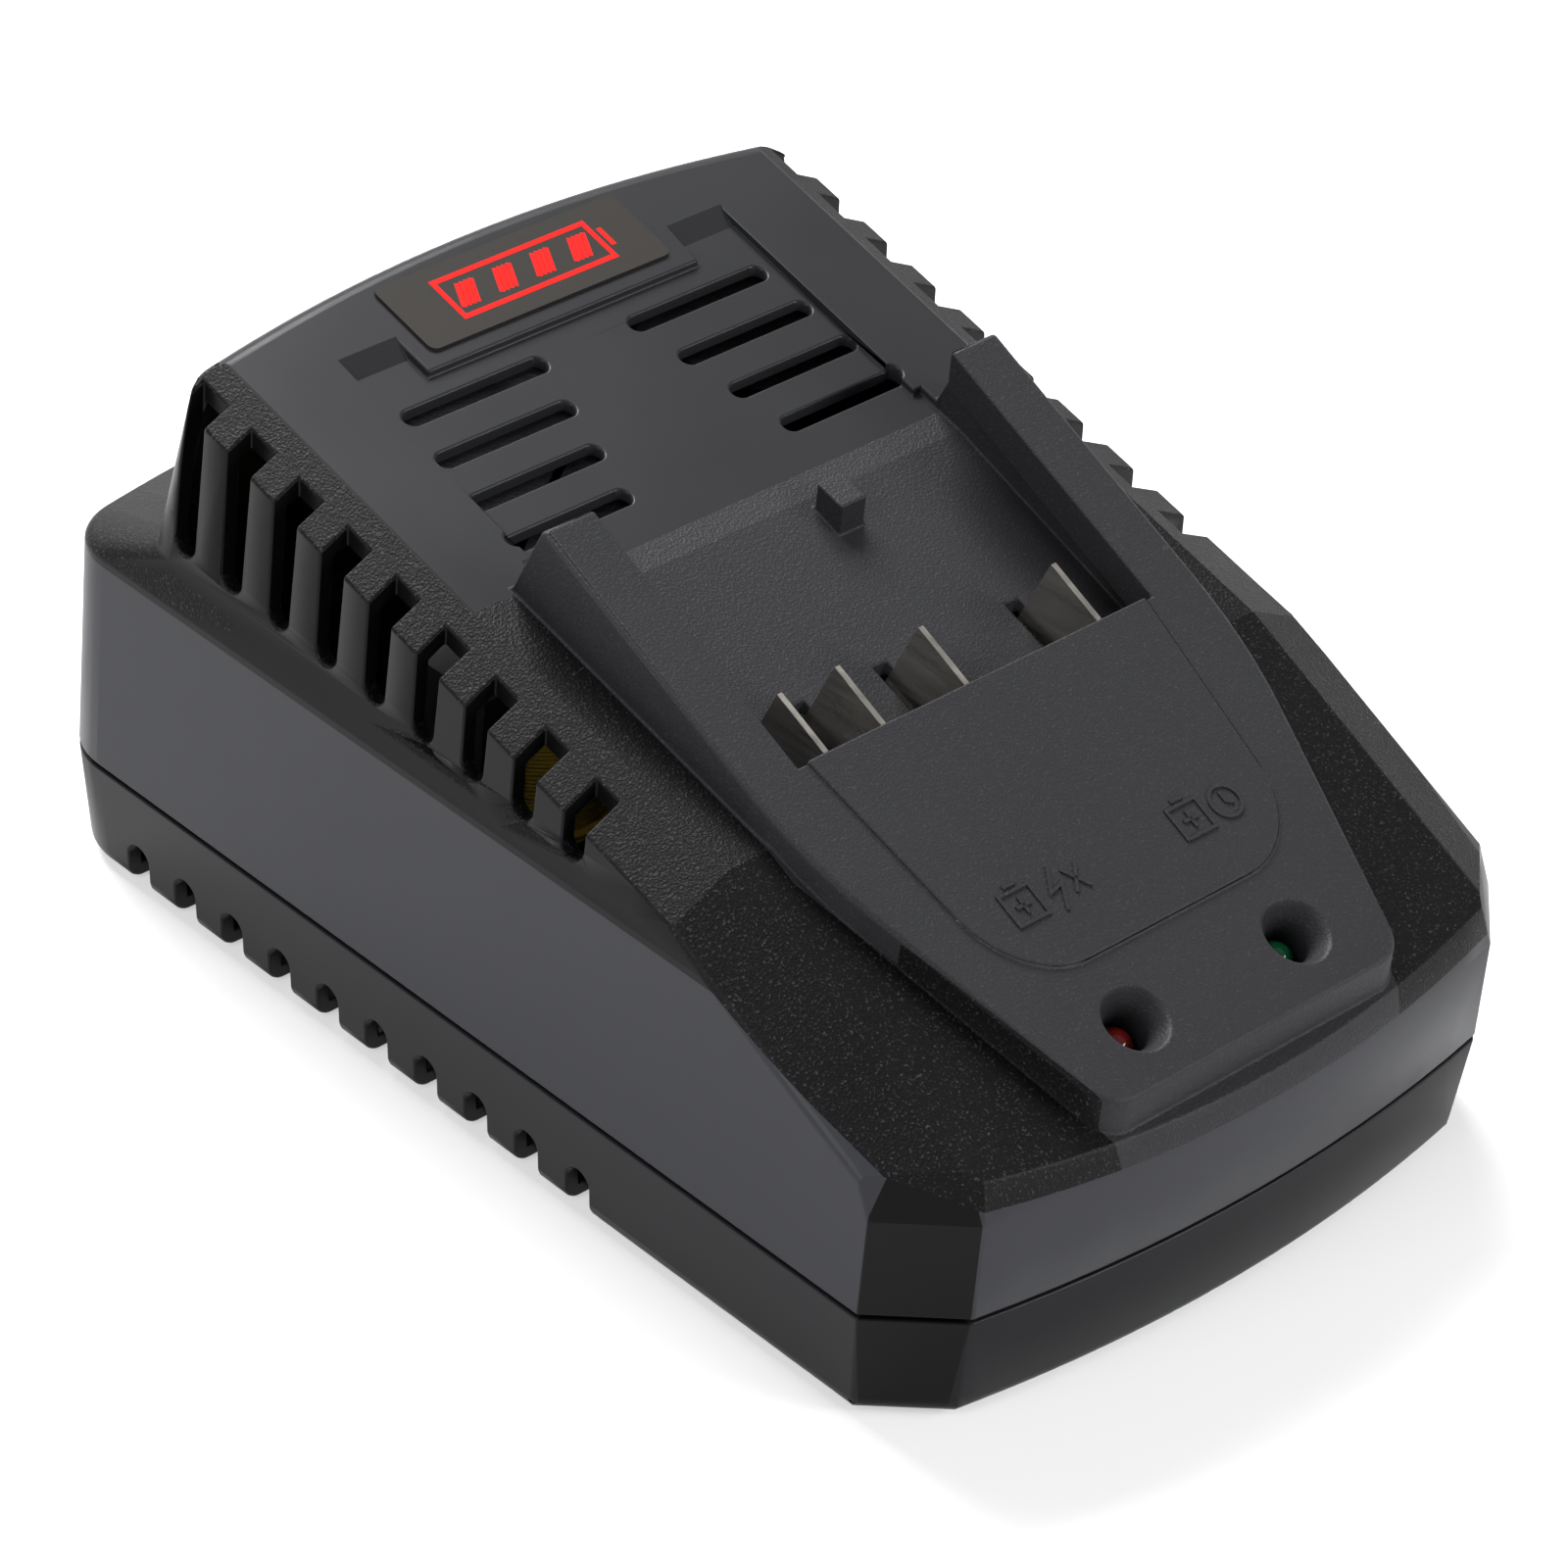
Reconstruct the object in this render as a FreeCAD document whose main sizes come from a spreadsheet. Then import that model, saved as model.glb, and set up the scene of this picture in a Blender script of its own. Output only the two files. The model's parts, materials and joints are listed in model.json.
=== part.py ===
import FreeCAD, Part
import Sketcher
import math
import os

Vector = FreeCAD.Vector
doc = FreeCAD.newDocument("charger")
sheet = doc.addObject("Spreadsheet::Sheet", "Sizes")

# driving sizes in millimetres, slopes as rise over run
sizes = [
    # plan of the body at the parting line
    ("halfWidth", 53.6), ("sideFrontY", -69.5), ("facetX", 43.7), ("facetY", -78.5),
    ("frontY", -82.5), ("backY", 82.5), ("bowRadius", 240.0), ("backCornerRadius", 10.0),
    # heights of the two shells
    ("wall", 2.2), ("partingHeight", 16.0), ("partingGap", 0.5), ("lowerDraft", 0.1),
    ("bottomEdge", 2.4), ("chamferHeight", 30.0), ("chamferSlope", 0.36), ("skirtHeight", 47.0),
    ("skirtDraft", 0.2), ("shoulderHeight", 52.0), ("lipHeight", 2.0), ("lipClearance", 0.2), ("lipThick", 1.5), ("bottomLift", 0.5),
    # vented tower above the shoulder
    ("towerRearHalf", 51.9), ("towerFrontHalf", 53.2), ("towerBackY", 68.0), ("towerBackDraft", 0.2),
    ("towerSideDraft", 0.03), ("towerCornerRadius", 6.0), ("formTop", 85.0),
    # sloping roof
    ("roofRearY", 61.0), ("roofRearHeight", 79.0), ("rearSlope", 0.253), ("kinkY", -34.3),
    ("frontSlope", 0.467), ("creaseX", 44.3), ("bevelSlope", 0.5),
    ("rearRound", 2.5), ("skirtRound", 1.5), ("sideRound", 1.2), ("creaseRound", 0.8), ("platformRound", 0.8),
    # side vents, cut up through the bevel
    ("ventCount", 9), ("ventFirstY", 54.7), ("ventPitch", 8.95), ("ventWidth", 3.7),
    ("ventTopWidth", 4.9), ("ventInnerX", 47.6), ("ventAboveShoulder", 2.2), ("ventBaseSlope", 0.055),
    ("backVentCount", 7), ("backVentWidth", 3.6), ("backVentBase", 55.0), ("backVentTop", 72.0),
    # arched notches through the bottom edge
    ("notchCount", 10), ("notchFirstY", 61.0), ("notchPitch", 9.19), ("notchWidth", 3.9), ("notchHeight", 7.0),
    # battery platform with its rails
    ("platformZ", 74.1), ("platformSlope", 0.45), ("railOuterX", 37.8), ("railInnerX", 29.9),
    ("railEndY", 7.0), ("railEndRun", 5.0), ("railBendY", -30.0), ("platformTaper", 0.315),
    ("platformFrontY", -79.4), ("platformCorner", 5.0), ("lipDepth", 5.4),
    ("undercut", 3.4), ("channelFrontY", -30.0), ("channelSlope", 0.36), ("channelWall", 2.2),
    # recessed vent panel and label plateau
    ("recessDepth", 1.0), ("recessX", 32.0), ("recessBackY", 51.0), ("plateauX", 22.6), ("plateauY", 44.4),
    ("gridSlotWidth", 2.6), ("gridSlotPitch", 7.4), ("gridFirstY", 40.1), ("gridOuterX", 28.8),
    ("gridOuterStep", 0.95), ("gridInnerX", 8.4), ("gridInnerStep", 1.95), ("gridCount", 4),
    ("labelLength", 40.0), ("labelWidth", 12.2), ("labelThick", 0.4), ("labelY", 52.6), ("labelCorner", 1.2),
    # raised tongue, lamp wells and key block
    ("tongueX", 28.6), ("tongueFrontY", -63.8), ("tongueRise", 0.5), ("tongueCorner", 12.0), ("tongueFrontX", 24.5),
    ("lampX", 13.8), ("lampY", -71.8), ("wellMouth", 4.5), ("wellBore", 3.0), ("wellCone", 2.6),
    ("lampDome", 2.5), ("lampFlange", 2.9), ("lampHeight", 8.6), ("lampDrop", 4.2), ("lampLead", 0.5),
    ("lampLeadPitch", 2.54), ("lampFlangeThick", 1.0), ("keyX", 8.8), ("keyY", 3.3), ("keyWidth", 4.3), ("keyLength", 4.6), ("keyHeight", 4.2),
    # terminals
    ("bladeThick", 0.8), ("bladeOneX", -25.2), ("bladeTwoX", -15.8), ("bladeThreeX", -1.9), ("bladeFourX", 20.8),
    ("bladeTopY", -21.5), ("bladeFootY", -16.8), ("bladeSlot", 1.0), ("bladeTail", 5.0), ("bladeClearance", 0.2),
    ("bladeTailY", -24.0), ("bladeTailHalf", 2.5),
    ("carrierTop", 43.5), ("carrierHeight", 10.0), ("carrierDepth", 16.0), ("carrierHalf", 31.0),
    ("carrierY", -24.0), ("carrierEar", 6.0), ("carrierEarThick", 3.0), ("leadRadius", 0.9),
    # board and what stands on it
    ("boardHalf", 36.0), ("boardFrontY", -72.0), ("boardBackY", 60.0), ("boardThick", 1.6), ("boardZ", 9.0),
    ("boardHoleX", 31.0), ("boardHoleFrontY", -58.0), ("boardHoleBackY", 55.0), ("bossRadius", 3.6),
    ("screwRadius", 1.5), ("screwHead", 2.8), ("screwHeadHeight", 2.0), ("screwClearance", 0.15),
    ("housingScrewX", 43.0), ("housingScrewFrontY", -60.0), ("housingScrewBackY", 67.0), ("postRadius", 4.2),
    ("screwWell", 3.4), ("screwWellDepth", 5.0), ("screwBite", 11.0), ("earBite", 5.0), ("boardBite", 5.0),
    ("coreX", -14.0), ("coreY", 30.0), ("coreLength", 32.0), ("coreWidth", 14.0), ("coreHeight", 30.0),
    ("coreYoke", 4.5), ("bobbinRadius", 11.0), ("bobbinInner", 8.8), ("bobbinGap", 0.3), ("coreLeg", 4.0), ("bobbinFlange", 1.2), ("standOff", 0.6),
    ("bigCapX", 17.0), ("bigCapY", 38.0), ("bigCapRadius", 9.0), ("bigCapHeight", 32.0),
    ("smallCapX", -24.0), ("smallCapY", -8.0), ("smallCapRadius", 4.0), ("smallCapHeight", 16.0), ("smallCapPitch", 10.5), ("smallCapCount", 2), ("capGroove", 0.5),
    ("sinkX", 31.5), ("sinkY", 8.0), ("sinkLength", 36.0), ("sinkThick", 2.0), ("sinkHeight", 28.0), ("finDepth", 4.0), ("finCount", 6),
    ("sinkTwoX", 13.0), ("sinkTwoY", -40.0), ("sinkTwoLength", 30.0), ("sinkTwoHeight", 22.0),
    ("packageWidth", 10.0), ("packageHeight", 15.0), ("packageThick", 4.5), ("packageLift", 5.0), ("packageLeg", 0.8), ("chokeBase", 1.5),
    ("chokeX", -16.0), ("chokeY", -44.0), ("chokeRadius", 8.0), ("chokeTube", 3.0),
    ("fuseX", -15.0), ("fuseY", 52.0), ("fuseRadius", 2.6), ("fuseLength", 18.0),
    ("filmCapX", 4.0), ("filmCapY", 52.0), ("filmCapLength", 15.0), ("filmCapDepth", 6.0), ("filmCapHeight", 12.0),
    ("chipX", 4.0), ("chipY", 2.0), ("chipLength", 9.6), ("chipWidth", 6.4), ("chipHeight", 3.4),
    # mains inlet for a figure-of-eight plug
    ("inletZ", 30.0), ("inletLength", 16.4), ("inletHeight", 8.6), ("inletDepth", 13.0), ("inletWall", 1.6),
    ("inletFlange", 2.0), ("inletFlangeThick", 1.5), ("inletClearance", 0.2), ("inletPinRadius", 1.2), ("inletPinPitch", 8.0),
    ("inletPocket", 9.0), ("inletPinIn", 4.0), ("inletSeat", 5.0), ("inletRecess", 0.4),
    # feet and wall-hanging keyholes
    ("footX", 32.0), ("footFrontY", -69.0), ("footBackY", 70.0), ("footRadius", 5.0), ("footHeight", 1.6),
    ("footSeat", 1.1), ("footClearance", 0.1), ("keyholeY", 36.0), ("keyholeRadius", 4.0), ("keyholeSlot", 2.0),
    ("keyholeRun", 8.0),
]
for row, (name, number) in enumerate(sizes, start=1):
    sheet.set("A%d" % row, name)
    sheet.set("B%d" % row, str(number))
    sheet.setAlias("B%d" % row, name)
doc.recompute()


def size(name):
    return float(sheet.get(name))


def bind(obj, **expressions):
    for prop, text in expressions.items():
        obj.setExpression(prop.replace("_", "."), text)


def tied(text):
    # every word of an expression that is a named size is read from the sheet
    words = ""
    token = ""
    for letter in text + " ":
        if letter.isalnum():
            token += letter
            continue
        words += "Sizes." + token if token in names else token
        words += letter
        token = ""
    return words.strip()


names = {name for name, number in sizes}


def place(obj, x, y, z):
    for axis, text in zip("xyz", (x, y, z)):
        obj.setExpression("Placement.Base." + axis, tied(text))


def box(name, length, width, height, x, y, z):
    # a block centred on x and y that stands on z
    obj = doc.addObject("Part::Box", name)
    bind(obj, Length=tied(length), Width=tied(width), Height=tied(height))
    place(obj, "(%s) - (%s) / 2" % (x, length), "(%s) - (%s) / 2" % (y, width), z)
    return obj


def rod(name, radius, height, x, y, z):
    obj = doc.addObject("Part::Cylinder", name)
    bind(obj, Radius=tied(radius), Height=tied(height))
    place(obj, x, y, z)
    return obj


def join(name, parts):
    obj = doc.addObject("Part::MultiFuse", name)
    obj.Shapes = parts
    return obj


def cut(name, base, tools):
    obj = doc.addObject("Part::Cut", name)
    obj.Base = base
    obj.Tool = tools[0] if len(tools) == 1 else join(name + "Tools", tools)
    return obj


def group(name, parts):
    obj = doc.addObject("Part::Compound", name)
    obj.Links = parts
    return obj


def feature(name, shape):
    obj = doc.addObject("Part::Feature", name)
    obj.Shape = shape
    return obj


def sidePrism(points, halfLength):
    # a profile in the length-height plane, carried across the width
    loop = [Vector(-halfLength, y, z) for y, z in points]
    face = Part.Face(Part.makePolygon(loop + [loop[0]]))
    return face.extrude(Vector(2 * halfLength, 0, 0))


def mirrorX(shape):
    return shape.mirror(Vector(0, 0, 0), Vector(1, 0, 0))


# heights of the sloping surfaces at a place along the length
def rearRoof(y, drop=0.0):
    return size("roofRearHeight") - drop + size("rearSlope") * (y - size("roofRearY"))


def frontRoof(y, drop=0.0):
    return rearRoof(size("kinkY"), drop) + size("frontSlope") * (y - size("kinkY"))


def railPlane(y, drop=0.0):
    return size("platformZ") - drop + size("platformSlope") * y


def channelFloor(y, drop=0.0):
    return rearRoof(size("railEndY"), size("recessDepth") + drop) + size("channelSlope") * (y - size("railEndY"))


def shoulderAt(y):
    return size("skirtHeight") + size("ventBaseSlope") * (y - size("kinkY"))


def outline(z, sideFront, sideRear, frontInset, backInset, cornerRadius, radiusInset):
    # plan of the body: bowed front and back, flat front corners, round back corners
    bow = size("bowRadius") - radiusInset
    facetRun = size("halfWidth") - size("facetX")
    facetRise = size("sideFrontY") - size("facetY")
    facetLength = math.hypot(facetRun, facetRise)
    # the facet line moves in by the inset along its normal
    facetStart = size("sideFrontY") + frontInset * facetLength / facetRun
    facetSlope = facetRise / facetRun
    sideY = facetStart + (sideFront - size("halfWidth")) * facetSlope
    frontCentre = size("frontY") + frontInset + bow
    # where the facet line meets the front bow
    a = 1 + facetSlope ** 2
    base = facetStart - size("halfWidth") * facetSlope - frontCentre
    b = base * facetSlope
    c = base ** 2 - bow ** 2
    cornerX = (-b - math.sqrt(b * b - a * c)) / a
    cornerY = facetStart + (cornerX - size("halfWidth")) * facetSlope
    backCentre = size("backY") - backInset - bow
    roundX = sideRear - cornerRadius
    roundY = backCentre + math.sqrt((bow - cornerRadius) ** 2 - roundX ** 2)
    reach = bow / (bow - cornerRadius)
    meetX = roundX * reach
    meetY = backCentre + (roundY - backCentre) * reach
    middleX = roundX + cornerRadius * math.cos(math.pi / 4)
    middleY = roundY + cornerRadius * math.sin(math.pi / 4)
    front = Vector(0, size("frontY") + frontInset, z)
    back = Vector(0, size("backY") - backInset, z)
    left = [Vector(-x, y, z) for x, y in
            ((cornerX, cornerY), (sideFront, sideY), (sideRear, roundY), (middleX, middleY), (meetX, meetY))]
    right = [Vector(-v.x, v.y, z) for v in left]
    edges = [
        Part.Arc(right[0], front, left[0]).toShape(),
        Part.makeLine(left[0], left[1]),
        Part.makeLine(left[1], left[2]),
        Part.Arc(left[2], left[3], left[4]).toShape(),
        Part.Arc(left[4], back, right[4]).toShape(),
        Part.Arc(right[4], right[3], right[2]).toShape(),
        Part.makeLine(right[2], right[1]),
        Part.makeLine(right[1], right[0]),
    ]
    return Part.Wire(edges)


def level(z, inset, tower=False):
    # one section of the upper form, with its drafts and the front chamfer
    front = max(0.0, z - size("chamferHeight")) * size("chamferSlope") + inset
    half = size("halfWidth") - inset
    if not tower:
        draft = size("skirtDraft") * (z - size("partingHeight")) / size("skirtHeight")
        return outline(z, half - draft, half - draft, front, draft + inset,
                       size("backCornerRadius") - inset, inset)
    rise = z - size("shoulderHeight")
    draft = size("towerSideDraft") * rise
    back = size("backY") - size("towerBackY") + size("towerBackDraft") * rise
    return outline(z, size("towerFrontHalf") - draft - inset, size("towerRearHalf") - draft - inset,
                   front, back + inset, size("towerCornerRadius") - inset, inset)


def upperForm(inset, bottom):
    # skirt, shoulder and tower as one ruled loft, under the two-slope roof with its side bevels
    heights = [(bottom, False), (size("chamferHeight"), False), (size("skirtHeight"), False),
               (size("shoulderHeight") - inset / 2, True), (size("formTop"), True)]
    body = Part.makeLoft([level(z, inset, tower) for z, tower in heights], True, True)
    reach = 2 * size("halfWidth")
    drop = inset * math.sqrt(1 + size("frontSlope") ** 2)
    crease = size("creaseX") - inset * size("bevelSlope") / 2
    far = 2 * size("backY")
    sections = []
    for y, z in ((far, rearRoof(far, drop)), (size("kinkY"), rearRoof(size("kinkY"), drop)), (-far, frontRoof(-far, drop))):
        fall = size("bevelSlope") * (reach - crease)
        loop = [Vector(-reach, y, -far), Vector(-reach, y, z - fall), Vector(-crease, y, z),
                Vector(crease, y, z), Vector(reach, y, z - fall), Vector(reach, y, -far)]
        sections.append(Part.makePolygon(loop + [loop[0]]))
    roof = Part.makeLoft(sections, True, True)
    return body.common(roof)


def rounded(shape, radius, spots):
    # rounds the edges that pass closest to the given places
    edges = []
    for spot in spots:
        point = Part.Vertex(spot)
        edges.append(min(shape.Edges, key=lambda edge: edge.distToShape(point)[0]))
    return shape.makeFillet(radius, edges)


def roundedForm(bottom):
    # moulded edges: rear of the roof, top of the skirt, and the front's side and crease edges
    form = upperForm(0.0, bottom)
    half, top, back = size("halfWidth"), size("skirtHeight"), size("backY")
    backTop = size("towerBackY") - size("towerBackDraft") * (size("roofRearHeight") - size("shoulderHeight"))
    form = rounded(form, size("rearRound"), [Vector(0, backTop, rearRoof(backTop))])
    radius = size("backCornerRadius")
    spots = [Vector(0, back, top)]
    for side in (-half, half):
        spots.append(Vector(side, 0, top))
        spots.append(Vector(side - math.copysign(radius / 3, side), back - 0.7 * radius, top))
    form = rounded(form, size("skirtRound"), spots)
    y = (size("kinkY") + size("sideFrontY")) / 2
    low = frontRoof(y) - size("bevelSlope") * (half - size("creaseX"))
    form = rounded(form, size("sideRound"), [Vector(side, y, low) for side in (-half, half)])
    crease = size("creaseX")
    return rounded(form, size("creaseRound"), [Vector(side, y, frontRoof(y)) for side in (-crease, crease)])


def shield(inset, z):
    # plan of the battery platform: straight rails, drawn in towards a straight front edge
    outer = size("railOuterX") - inset
    endY = size("railEndY") + size("railEndRun") + size("channelWall") - inset
    bend = size("railBendY")
    taper = math.atan(size("platformTaper"))
    arcRadius = 60.0 - inset
    centreX = outer - arcRadius
    arcEndX = centreX + arcRadius * math.cos(taper)
    arcEndY = bend - arcRadius * math.sin(taper)
    arcMidX = centreX + arcRadius * math.cos(taper / 2)
    arcMidY = bend - arcRadius * math.sin(taper / 2)
    frontY = size("platformFrontY") + inset
    frontX = arcEndX - (arcEndY - frontY) * math.tan(taper)
    left = [Vector(-outer, endY, z), Vector(-outer, bend, z), Vector(-arcMidX, arcMidY, z),
            Vector(-arcEndX, arcEndY, z), Vector(-frontX, frontY, z)]
    right = [Vector(-v.x, v.y, z) for v in left]
    wire = Part.Wire([
        Part.makeLine(left[0], left[1]), Part.Arc(left[1], left[2], left[3]).toShape(),
        Part.makeLine(left[3], left[4]), Part.makeLine(left[4], right[4]),
        Part.makeLine(right[4], right[3]), Part.Arc(right[3], right[2], right[1]).toShape(),
        Part.makeLine(right[1], right[0]), Part.makeLine(right[0], left[0]),
    ])
    return wire


def platformForm(inset, bottom):
    height = size("formTop") - bottom
    column = Part.Face(shield(inset, bottom)).extrude(Vector(0, 0, height))
    corners = [e for e in column.Edges if abs(e.Length - height) < 1e-6
               and abs(e.Vertexes[0].Y - size("platformFrontY") - inset) < 1e-6]
    column = column.makeFillet(size("platformCorner") - inset, corners)
    drop = inset * math.sqrt(1 + size("platformSlope") ** 2)
    end = size("railEndY") - inset
    foot = end + size("railEndRun")
    front = size("platformFrontY") - size("wall")
    profile = [(front, bottom), (front, railPlane(front, drop)), (end, railPlane(end, drop)),
               (foot, rearRoof(foot) - size("recessDepth") - inset), (foot, bottom)]
    return column.common(sidePrism(profile, size("halfWidth")))


def channelTool(grow):
    # the battery channel: floor, open sides up, and the grooves under the rail lips
    rear = size("railEndY") + size("railEndRun") + size("channelWall") + grow
    front = size("channelFrontY") - grow
    bend = size("railEndY")
    top = size("formTop")
    floor = [(front, channelFloor(front, grow)), (bend, channelFloor(bend, grow)),
             (rear, rearRoof(rear, size("recessDepth") + grow))]
    middle = sidePrism(floor + [(rear, top), (front, top)], size("railInnerX") + (grow if grow else 0.0))
    lip = size("lipDepth") - grow
    groove = sidePrism(floor + [(rear, railPlane(rear, lip)), (front, railPlane(front, lip))],
                       size("railInnerX") + size("undercut") + grow)
    return middle.fuse(groove)


def recessTool():
    # shallow panel round the label plateau, with a horn running back on each side of it
    low = size("railEndY")
    back = size("recessBackY")
    panel = sidePrism([(low, rearRoof(low, size("recessDepth"))), (back, rearRoof(back, size("recessDepth"))),
                       (back, size("formTop")), (low, size("formTop"))], size("recessX"))
    ramp = sidePrism([(back - 3.0, rearRoof(back - 3.0, size("recessDepth"))), (back, rearRoof(back) + 0.01),
                      (back, rearRoof(back, 2 * size("recessDepth")))], size("recessX"))
    plateau = Part.makeBox(2 * size("plateauX"), size("recessBackY"), size("formTop"),
                           Vector(-size("plateauX"), size("plateauY"), 0))
    return panel.cut(ramp).cut(plateau)


def gridSlots():
    tools = []
    height = size("formTop")
    half = size("gridSlotWidth") / 2
    for k in range(int(size("gridCount"))):
        y = size("gridFirstY") - k * size("gridSlotPitch")
        inner = size("gridInnerX") + k * size("gridInnerStep")
        outer = size("gridOuterX") + k * size("gridOuterStep")
        slot = Part.makeBox(outer - inner, 2 * half, height, Vector(inner, y - half, 0))
        for x in (inner, outer):
            slot = slot.fuse(Part.makeCylinder(half, height, Vector(x, y, 0)))
        tools += [slot.removeSplitter(), mirrorX(slot.removeSplitter())]
    return tools


def sideVents():
    # each vent: round foot, sides opening a little upwards, cut in from the wall and up through the bevel
    tools = []
    depth = size("halfWidth") - size("ventInnerX") + size("wall")
    for k in range(int(size("ventCount"))):
        y = size("ventFirstY") - k * size("ventPitch")
        foot = shoulderAt(y) + size("ventAboveShoulder")
        low = size("ventWidth") / 2
        high = size("ventTopWidth") / 2
        top = size("formTop")
        a, b = Vector(0, y - low, foot + low), Vector(0, y + low, foot + low)
        c, d = Vector(0, y + high, top), Vector(0, y - high, top)
        profile = Part.Wire([Part.Arc(a, Vector(0, y, foot), b).toShape(), Part.makeLine(b, c),
                             Part.makeLine(c, d), Part.makeLine(d, a)])
        vent = Part.Face(profile).extrude(Vector(depth, 0, 0))
        vent.translate(Vector(size("ventInnerX"), 0, 0))
        tools += [vent, mirrorX(vent)]
    return tools


def backVents():
    tools = []
    count = int(size("backVentCount"))
    half = size("backVentWidth") / 2
    low, high = size("backVentBase") + half, size("backVentTop") - half
    for k in range(count):
        x = (k - (count - 1) / 2) * size("ventPitch")
        start = size("towerBackY") - 5 * size("wall")
        vent = Part.makeBox(2 * half, 8 * size("wall"), high - low, Vector(x - half, start, low))
        for z in (low, high):
            vent = vent.fuse(Part.makeCylinder(half, 8 * size("wall"), Vector(x, start, z), Vector(0, 1, 0)))
        tools.append(vent.removeSplitter())
    return tools


def onPlatform(shape, x, y):
    # stands a shape made at the origin on the sloping platform
    shape = shape.copy()
    shape.rotate(Vector(0, 0, 0), Vector(1, 0, 0), math.degrees(math.atan(size("platformSlope"))))
    shape.translate(Vector(x, y, railPlane(y)))
    return shape


def lampWell(x):
    mouth = Part.makeCone(size("wellMouth"), size("wellBore"), size("wellCone"), Vector(0, 0, 0), Vector(0, 0, -1))
    bore = Part.makeCylinder(size("wellBore"), 4 * size("wellCone"), Vector(0, 0, 0), Vector(0, 0, -1))
    return onPlatform(mouth.fuse(bore), x, size("lampY"))


def lampTube(x):
    tube = Part.makeCylinder(size("wellBore") + size("wall") / 2, 3.2 * size("wellCone"), Vector(0, 0, 0), Vector(0, 0, -1))
    return onPlatform(tube, x, size("lampY"))


def tongueForm():
    # raised plate: straight rear edge on the channel step, round front corners
    rear = size("channelFrontY")
    front = size("tongueFrontY")
    reach = size("formTop")
    wide, narrow = size("tongueX"), size("tongueFrontX")
    loop = [Vector(-wide, rear, 0), Vector(-narrow, front, 0), Vector(narrow, front, 0), Vector(wide, rear, 0)]
    plate = Part.Face(Part.makePolygon(loop + [loop[0]])).extrude(Vector(0, 0, reach))
    corners = [e for e in plate.Edges if abs(e.Length - reach) < 1e-6 and abs(e.Vertexes[0].Y - front) < 1e-6]
    plate = plate.makeFillet(size("tongueCorner"), corners)
    slab = sidePrism([(front - 1, railPlane(front - 1, 1.0)), (front - 1, railPlane(front - 1, -size("tongueRise"))),
                      (rear, railPlane(rear, -size("tongueRise"))), (rear, railPlane(rear, 1.0))], size("halfWidth"))
    return plate.common(slab)


def bladePlaces():
    return [size("blade%sX" % word) for word in ("One", "Two", "Three", "Four")]


def bladeSlots():
    # through the channel floor, wider on one side of each blade
    tools = []
    length = size("bladeFootY") + size("bladeSlot") - size("channelFrontY")
    width = size("bladeThick") + 1.5 * size("bladeSlot")
    for x in bladePlaces():
        corner = Vector(x - size("bladeThick") / 2 - size("bladeSlot"), size("channelFrontY"), size("carrierTop"))
        tools.append(Part.makeBox(width, length, size("formTop"), corner))
    return tools


def keyBlock():
    low = channelFloor(size("keyY"), size("channelWall") / 2)
    block = Part.makeBox(size("keyWidth"), size("keyLength"), size("formTop"),
                         Vector(size("keyX") - size("keyWidth") / 2, size("keyY") - size("keyLength") / 2, low))
    front = size("keyY") - size("keyLength") / 2
    back = front + size("keyLength")
    top = channelFloor(front) + size("keyHeight")
    cap = sidePrism([(front, 0), (front, top), (back, top + size("rearSlope") * size("keyLength")), (back, 0)],
                    size("halfWidth"))
    return block.common(cap)


def inletHole(z, grow, depth, y):
    # figure-of-eight opening: two overlapping rounds
    half = size("inletHeight") / 2 + grow
    off = (size("inletLength") - size("inletHeight")) / 2
    shape = Part.makeBox(2 * off, depth, 2 * half, Vector(-off, y, z - half))
    for x in (-off, off):
        shape = shape.fuse(Part.makeCylinder(half, depth, Vector(x, y, z), Vector(0, 1, 0)))
    return shape.removeSplitter()


def inletFrame():
    # thick pad behind the back wall, flat on the inside, that the inlet's flange lies on
    length = size("inletLength") + 4 * size("wall")
    height = size("inletHeight") + 4 * size("wall")
    seat = size("backY") - size("inletSeat")
    return Part.makeBox(length, size("inletSeat"), height, Vector(-length / 2, seat, size("inletZ") - height / 2))


def upperHousing():
    wall = size("wall")
    low = size("partingHeight") + size("partingGap") / 2
    outer = roundedForm(low)
    platform = platformForm(0.0, size("chamferHeight"))
    rim = [edge for edge in platform.Edges if all(abs(v.Z - railPlane(v.Y)) < 1e-4 for v in edge.Vertexes)]
    platform = platform.makeFillet(size("platformRound"), rim)
    body = outer.fuse(platform)
    cavity = upperForm(wall, low - 1.0).fuse(platformForm(wall, size("chamferHeight") - 1.0))
    keep = channelTool(size("channelWall"))
    floorWall = recessTool()
    floorWall.translate(Vector(0, 0, -wall * 1.05))
    cavity = cavity.cut(keep).cut(floorWall)
    body = body.cut(cavity)
    posts = []
    for x, y in postPlaces():
        post = Part.makeCylinder(size("postRadius"), size("formTop"), Vector(x, y, low))
        posts.append(post.common(outer))
    tubes = [lampTube(-size("lampX")), lampTube(size("lampX"))]
    stand = [earPost(side).common(outer) for side in (-1, 1)]
    body = body.fuse(posts + tubes + stand + [inletFrame().common(outer)])
    body = body.cut(channelTool(0.0)).cut(recessTool())
    body = body.fuse([tongueForm(), keyBlock()])
    holes = [Part.makeCylinder(size("screwRadius"), size("screwBite") + 1, Vector(x, y, low - 1)) for x, y in postPlaces()]
    wells = [lampWell(-size("lampX")), lampWell(size("lampX"))]
    inlet = [inletHole(size("inletZ"), size("inletClearance"), 4 * wall, size("backY") - 3 * wall)]
    body = body.cut(gridSlots() + sideVents() + backVents() + bladeSlots() + holes + wells + inlet + earHoles())
    return body.removeSplitter()


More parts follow.
